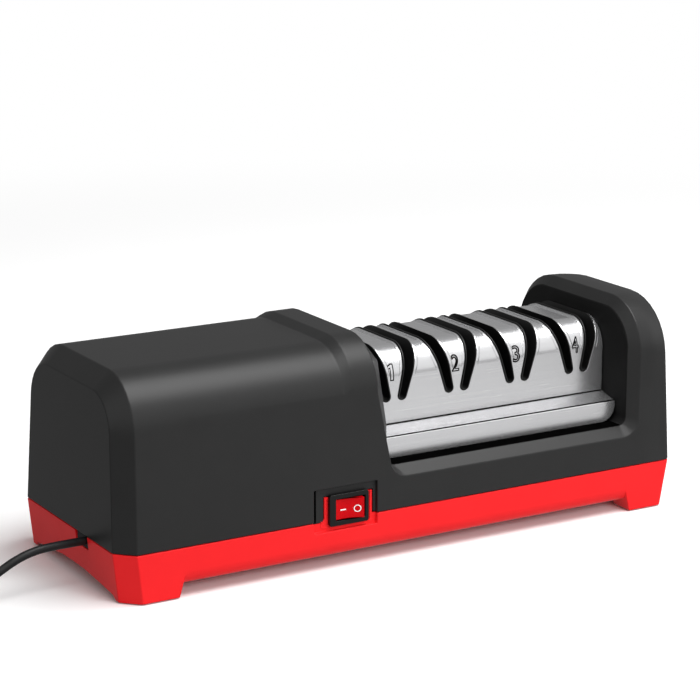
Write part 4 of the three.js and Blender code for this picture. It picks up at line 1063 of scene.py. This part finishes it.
def digit_curve(letter):
    """The outline of a digit as a flat curve in millimetres, standing on 0 and centred across."""
    bpy.ops.object.select_all(action="DESELECT")
    if letter == "1":
        bpy.ops.curve.primitive_bezier_circle_add(radius=1)
        curve = bpy.context.object
        curve.data.splines.clear()
        spline = curve.data.splines.new("POLY")
        spline.points.add(len(one_outline) - 1)
        for point, (across, along) in zip(spline.points, one_outline):
            point.co = (across, along, 0, 1)
        spline.use_cyclic_u = True
        return curve
    bpy.ops.object.text_add(location=(0, 0, 0))
    text = bpy.context.object
    text.data.body = letter
    text.data.size = 12
    text.data.resolution_u = 5
    bpy.ops.object.convert(target="MESH")
    outline = bpy.context.object
    edit(outline)
    bpy.ops.mesh.remove_doubles(threshold=0.005)
    pick(outline, "EDGE", lambda edge: not edge.is_boundary)
    bpy.ops.mesh.delete(type="EDGE")
    done()
    across = [point.co.x for point in outline.data.vertices]
    along = [point.co.y for point in outline.data.vertices]
    wide = (digit_width - line_width) / (max(across) - min(across))
    tall = (digit_height - line_width) / (max(along) - min(along))
    outline.data.transform(Matrix.Translation((-(max(across) + min(across)) / 2, -min(along), 0)))
    outline.data.transform(Matrix.Diagonal((wide, tall, 1, 1)))
    bpy.ops.object.convert(target="CURVE")
    return bpy.context.object


def outlined_digit(letter):
    """A digit drawn in one fine line: its outline with a round bevel, pressed flat."""
    curve = digit_curve(letter)
    curve.data.dimensions = "3D"
    curve.data.fill_mode = "FULL"
    curve.data.bevel_depth = line_width / 2
    curve.data.bevel_resolution = 2
    bpy.ops.object.convert(target="MESH")
    digit = bpy.context.object
    digit.data.transform(Matrix.Diagonal((1, 1, ink_thickness / line_width, 1)))
    edit(digit)
    bpy.ops.mesh.remove_doubles(threshold=0.001)
    return leave(digit)


def over_shoulder(point, middle):
    """A point of a flat print (across, along, proud), laid over the cover's front face and shoulder."""
    across, along, proud = point
    if along <= shoulder_foot:
        return Vector((middle + across, axis_y - face_reach - proud, along)) * MM
    angle = (along - shoulder_foot) / shoulder_radius
    reach = shoulder_radius + proud
    y = axis_y - (face_reach - shoulder_radius) - reach * math.cos(angle)
    return Vector((middle + across, y, shoulder_foot + reach * math.sin(angle))) * MM


for number, middle in enumerate(stage_places, start=1):
    digit = outlined_digit(str(number))
    for step in range(1, 20):
        edit(digit)
        bpy.ops.mesh.bisect(plane_co=(0, step * print_step, 0), plane_no=(0, 1, 0))
    done()
    for point in digit.data.vertices:
        across, along, proud = point.co
        point.co = over_shoulder((across + digit_shift, digit_foot + along, proud + ink_rise), middle)
    edit(digit)
    leave(digit)
    digit.name = digit.data.name = f"digit_{number}"
    dress(digit, "ink_and_fold_shade")
    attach(digit, "case")
    print(digit.name, [round(value * 1000, 2) for value in digit.dimensions])

# %% [markdown]
# ## The rocker switch
#
# The switch snaps into a red tab of the base: a dark bezel, and in its well a red rocker with a hollowed face, one end
# pressed in. The hollow is the track of a big cylinder, so a cylinder cuts it. The rocker is made square to the axes
# round its pin and then turned by 10 degrees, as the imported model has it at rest. The bar and the ring are paint:
# flat outlines pressed onto the hollow by Shrinkwrap, and thickened by a few hundredths of a millimetre.

# %% Switch body and rocker
bezel_left, well_left = -43.5, -42.9
bezel_shift, well_shift = 0.3, 1.8


def narrow_bezel(piece):
    """The left side of the switch's well stands a little further in, and its bezel is broader there."""
    for low, high, shift in ((-50, bezel_left, bezel_shift), (well_left, -40, well_shift)):
        pick(piece, "VERT", lambda point: low < point.co.x / MM < high)
        bpy.ops.transform.translate(value=(shift * MM, 0, 0))
        done()


dress(soften("switch_body", "switch_housing", 0.3, reshape=narrow_bezel), "switch_plastic")
pivot = Vector((-33.7, -52.1, 27.9))
rocker_half, rocker_height, rocker_back, rocker_dish, rocker_front = 7.0, 4.9, 3.6, 3.0, 4.2
rocker_shift = 0.7
hollow_half = 9
pin_radius, pin_from, pin_to = 1.2, 4.5, 5.9
rest_turn = Matrix.Rotation(math.radians(-10), 4, "Z")


def into_switch(piece):
    """From the rocker's own axes to its place and turn in the switch."""
    piece.data.transform(Matrix.Translation(pivot * MM) @ rest_turn)


rocker = block("rocker_red", (-rocker_half, -rocker_front, -rocker_height), (rocker_half, rocker_back, rocker_height))
for side in (-1, 1):
    cut_off(rocker, (side * rocker_half, 0, 0), (side * rocker_back, rocker_half / 2, 0))
done()
sagitta = rocker_front - rocker_dish
hollow = (rocker_half ** 2 + sagitta ** 2) / (2 * sagitta)
hollow_y = -rocker_dish - hollow
carve(rocker, rod("hollow", hollow, *[(0, hollow_y, side * hollow_half) for side in (-1, 1)], sides=360))
round_seen(rocker, 30, 0.35, 4)
edit(rocker)
leave(rocker)
rocker.data.transform(Matrix.Translation((rocker_shift * MM, 0, 0)))
for side in (-1, 1):
    carve(rocker, rod("pin", pin_radius, (0, 0, side * pin_from), (0, 0, side * pin_to), sides=24), "UNION")
smooth(rocker)

# %% Marks on the rocker
bar_length, bar_width, bar_middle = 2.9, 0.6, -2.3
ring_radius, ring_line, ring_middle = 1.75, 0.45, 4.7
mark_before, mark_height = -8, -0.4
mark_rise, mark_thickness = 0.02, 0.05
upright = (math.pi / 2, 0, 0)


def printed(name, flat):
    """A flat mark pressed onto the rocker's hollow and thickened."""
    flat.name = flat.data.name = name
    modify(flat, "SHRINKWRAP", target=rocker, wrap_method="PROJECT", use_project_y=True, use_negative_direction=True,
           use_positive_direction=True, offset=mark_rise * MM)
    modify(flat, "SOLIDIFY", thickness=mark_thickness * MM, offset=1)
    into_switch(flat)
    dress(flat, "mark_white")
    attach(flat, "rocker")


bpy.ops.object.select_all(action="DESELECT")
bpy.ops.mesh.primitive_grid_add(
    x_subdivisions=8, y_subdivisions=2, size=1,
    location=(bar_middle * MM, mark_before * MM, mark_height * MM), rotation=upright
)
bar = placed("bar", (bar_length * MM, bar_width * MM, 1))

bpy.ops.object.select_all(action="DESELECT")
bpy.ops.mesh.primitive_circle_add(
    vertices=48, radius=ring_radius * MM, fill_type="NGON",
    location=(ring_middle * MM, mark_before * MM, mark_height * MM), rotation=upright
)
ring = placed("ring")
pick(ring, "FACE", lambda face: True)
bpy.ops.mesh.inset(thickness=ring_line * MM, depth=0)
bpy.ops.mesh.delete(type="FACE")
done()

printed("mark_on", bar)
printed("mark_off", ring)
into_switch(rocker)
stand_for(dress(rocker, "rocker_plastic"), "rocker")
print("rocker hollow radius", round(hollow, 1), "faces", len(rocker.data.polygons))

# %% [markdown]
# ## Feet, bush, screws and the parts inside
#
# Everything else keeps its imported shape. Rigid pieces become softened copies with a radius that suits their size, and
# the thinnest ones, such as springs and wires, stay as they are. Each gets the finish of its own material.

# %% Softened pieces
softened = {
    "pad_rubber": (0.4, ["foot_pad_1", "foot_pad_2", "foot_pad_3", "foot_pad_4", "cord_bush"]),
    "zinc_steel": (0.15, ["spindle", "spindle_clip", "motor_can", "motor_strap", "motor_shaft"]),
    "guide_plastic": (0.3, ["motor_bell", "bearing_cap_1", "bearing_cap_2"]),
    "ferrite": (0.3, ["motor_magnet"]),
    "brass": (0.12, ["coupling", "switch_terminal_1", "switch_terminal_2"]),
    "rotor_copper": (0.12, ["motor_rotor", "commutator"]),
    "board": (0.15, ["circuit_board"]),
    "abrasive": (0.12, [f"grinding_disc_{number}" for number in range(1, 7)]),
    "polishing": (0.12, [f"grinding_disc_{number}" for number in range(7, 9)]),
}
for finish, (radius, nodes) in softened.items():
    for node in nodes:
        dress(soften(node, f"{node}_made", radius, segments=2), finish)

# %% Springs, bearings and wires
stay = {
    "zinc_steel": [f"disc_spring_{number}" for number in range(1, 5)],
    "wire_brown": ["wire_live", "wire_switched"],
    "wire_blue": ["wire_neutral"],
}
for finish, nodes in stay.items():
    for node in nodes:
        dress(frame["nodes"][node], finish)


groove_outer, groove_inner, groove_half = 7.6, 6.0, 0.5


def split_bearing(piece):
    """The gap between the inner and the outer ring of a bearing, as a shallow groove in each face."""
    low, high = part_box(piece.name.removesuffix("_made"))
    middle = (low + high) / 2 / MM
    for face in (low.x / MM, high.x / MM):
        groove, core = (
            rod("groove", radius, *[(face + end * half, middle.y, middle.z) for end in (-1, 1)])
            for radius, half in ((groove_outer, groove_half), (groove_inner, groove_half + 0.1))
        )
        carve(groove, core)
        carve(piece, groove)


for node in ("bearing_1", "bearing_2"):
    dress(soften(node, f"{node}_made", 0.2, segments=2, reshape=split_bearing), "zinc_steel")

# %% [markdown]
# ## Screws
#
# Four screws hold the two halves together from below, and two hold the motor's strap. All six have a pan head with a
# cross recess, and a shank whose thread is a row of shallow ring valleys. One of each kind is turned up from two rods,
# its head is rounded, and two crossed blocks cut the recess; the others are copies, turned over where the head points
# down.

# %% Screws
screw_head, screw_head_height, screw_shank = 3.4, 2.0, 1.7
head_rounding, shank_overlap = 0.8, 0.3
cross_length, cross_width, cross_depth = 2.1, 0.55, 1.3
thread_pitch, valley_depth, valley_half = 1.4, 0.3, 0.3


def screw(name, length):
    """A screw that stands on 0 with its head up."""
    piece = rod(name, screw_head, (0, 0, 0), (0, 0, screw_head_height))
    round_edges(piece, lies_beyond(2, 0.9 * screw_head_height), head_rounding, 4)
    shank = rod("shank", screw_shank, (0, 0, -length), (0, 0, shank_overlap), sides=24)
    for step in range(1, round(length / thread_pitch)):
        z = -step * thread_pitch
        valley, core = (
            rod("valley", screw_shank + grow, (0, 0, z - half), (0, 0, z + half), sides=24)
            for grow, half in ((valley_depth, valley_half), (-valley_depth, valley_half + 0.1))
        )
        carve(valley, core)
        carve(shank, valley)
    carve(piece, shank, "UNION")
    low, high = screw_head_height - cross_depth, screw_head_height + 0.1
    carve(piece, block("cross", (-cross_length, -cross_width, low), (cross_length, cross_width, high)))
    carve(piece, block("cross", (-cross_width, -cross_length, low), (cross_width, cross_length, high)))
    return smooth(piece, 35)


for kind, count, down in (("case_screw", 4, True), ("strap_screw", 2, False)):
    low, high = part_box(f"{kind}_1")
    model = screw(kind, (high.z - low.z) / MM - screw_head_height)
    for number in range(1, count + 1):
        low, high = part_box(f"{kind}_{number}")
        place = (low + high) / 2
        place.z = low.z + screw_head_height * MM if down else high.z - screw_head_height * MM
        twin = twin_of(model, f"{kind}_made_{number}")
        if down:
            twin.data.transform(Matrix.Rotation(math.pi, 4, "X"))
        twin.data.transform(Matrix.Translation(place))
        stand_for(dress(twin, "zinc_steel"), f"{kind}_{number}")
    bpy.data.objects.remove(model)
    print(kind, count, "made")

# %% [markdown]
# ## Plug and tie
#
# The cord ends in a flat two-pin plug with round pins, and a rubber tie holds its coil. The plug is a softened copy of
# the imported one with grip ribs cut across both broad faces. Each pin has a rounded tip and, on its rear
# half, the thin insulating sleeve that keeps fingers safe.

# %% Plug, pins and tie
plug_x, plug_z = -300.0, 6.85
rib_places = (34.0, 37.2, 40.4, 43.6)
rib_half, rib_radius = 9.0, 0.75
pin_spacing = 9.3
sleeve_from, sleeve_to, sleeve_radius = 62.9, 73.0, 2.12


def cut_ribs(piece):
    low, high = (corner.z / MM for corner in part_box("plug"))
    for y in rib_places:
        for z in (low, high):
            carve(piece, rod("rib", rib_radius, (plug_x - rib_half, y, z), (plug_x + rib_half, y, z), sides=16))


plug = dress(soften("plug", "mains_plug", 0.6, reshape=cut_ribs), "cord_rubber")
plug_pieces = [plug]
for number, side in enumerate((-1, 1), start=1):
    pin = dress(soften(f"plug_pin_{number}", f"plug_pin_made_{number}", 0.7), "pin_nickel")
    x = plug_x + side * pin_spacing
    sleeve_ends = (x, sleeve_from, plug_z), (x, sleeve_to, plug_z)
    sleeve = rod(f"pin_sleeve_{number}", sleeve_radius, *sleeve_ends, sides=32)
    round_edges(sleeve, lies_beyond(1, sleeve_to - 0.1), 0.1, 2)
    dress(smooth(sleeve), "cord_rubber")
    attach(sleeve, "case")
    plug_pieces += [pin, sleeve]
tie = dress(soften("cord_tie", "cord_tie_made", 0.12), "pad_rubber")

# %% The cord's plug, pins, sleeves and tie
plug_pieces + [tie]
print("cord with", [piece.name for piece in plug_pieces + [tie]])

# %% [markdown]
# ## The studio
#
# A pale floor, one big soft light above and a little in front, and a weaker one from the front. The far floor and the
# background are white for the camera; near the object the floor is an ordinary matt surface, so that it keeps the
# soft shadow. Reflections see less white than the camera does: the room is grey behind, and on the floor they see a
# painted pool of light, pale only in front of the object and grey further off. The grey stands for a studio's darker
# walls, and keeps the black plastic black.

# %% Floor
camera_tone, bounce_tone = 1.0, 0.5
white_from, white_to = 0.45, 1.1
pool_place, pool_from, pool_to = (0.08, -0.30), 0.10, 0.42
pool_tone, floor_tone = 0.85, 0.30
bpy.ops.object.select_all(action="DESELECT")
bpy.ops.mesh.primitive_plane_add(size=16, location=(0, 0, 0))
floor = bpy.context.object
floor.name = "floor"
paper = Finish("paper", roughness=1.0, specular_ior_level=0.0)
camera_ray = paper.node("ShaderNodeLightPath", output="Is Camera Ray")
glossy_ray = paper.node("ShaderNodeLightPath", output="Is Glossy Ray")
paper.set("Base Color", paper.blend(camera_ray, grey(bounce_tone), grey(camera_tone)))


def away_from(x, y):
    """Distance along the floor from a point, in metres."""
    here = paper.node("ShaderNodeTexCoord", output="Object")
    moved = paper.node("ShaderNodeVectorMath", {"operation": "SUBTRACT"}, {0: here, 1: (x, y, 0)}, "Vector")
    return paper.node("ShaderNodeVectorMath", {"operation": "LENGTH"}, {0: moved}, "Value")


far = paper.between(away_from(0, 0), white_from, white_to)
# painted light: a pale pool of emission on the floor in front of the object, seen only in reflections
pool = paper.between(away_from(*pool_place), pool_from, pool_to)
painted_reflection_pool = paper.node("ShaderNodeEmission", {}, {"Color": paper.blend(pool, grey(pool_tone), grey(floor_tone))})
white = paper.node("ShaderNodeEmission", {}, {"Color": grey(1), "Strength": 1.0})
matt = Wire(paper, paper.shader.outputs[0])
seen = paper.node("ShaderNodeMixShader", {}, {0: far * camera_ray, 1: matt, 2: white})
seen = paper.node("ShaderNodeMixShader", {}, {0: glossy_ray, 1: seen, 2: painted_reflection_pool})
paper.fill(paper.tree.nodes["Material Output"].inputs["Surface"], seen)
floor.data.materials.append(paper.material)

# %% Room and lamps
front_tone, rear_tone, fill_tone = 1.0, 0.24, 0.40
rear_from, rear_to = 0.02, 0.30
world = bpy.data.worlds.new("room")
bpy.context.scene.world = world
world.use_nodes = True
room = Finish("room", tree=world.node_tree)
towards = room.node("ShaderNodeTexCoord", output="Generated")
behind = room.between(room.along(towards, "Y"), rear_from, rear_to)
shade = room.blend(behind, grey(front_tone), grey(rear_tone))
is_camera = room.node("ShaderNodeLightPath", output="Is Camera Ray")
is_glossy = room.node("ShaderNodeLightPath", output="Is Glossy Ray")
fill_light = room.blend(is_glossy, grey(fill_tone), shade)
backdrop = room.blend(is_camera, fill_light, grey(camera_tone))
room.fill(world.node_tree.nodes["Background"].inputs["Color"], backdrop)


def lamp(name, direction, distance, size, power):
    """A soft square lamp that looks at the appliance from a direction."""
    data = bpy.data.lights.new(name, "AREA")
    data.shape = "RECTANGLE"
    data.size, data.size_y = size
    data.energy = power
    place = bpy.data.objects.new(name, data)
    bpy.context.scene.collection.objects.link(place)
    place.location = Vector(direction).normalized() * distance
    place.rotation_euler = (-place.location).to_track_quat("-Z", "Y").to_euler()
    return place


lamp("overhead_lamp", (0.25, -0.26, 0.93), 1.5, (1.2, 0.9), 23)
lamp("front_lamp", (0.12, -0.88, 0.42), 1.8, (0.9, 0.6), 13).visible_glossy = False

# %% Colours are shown as they are
bpy.context.scene.view_settings.view_transform = "Standard"
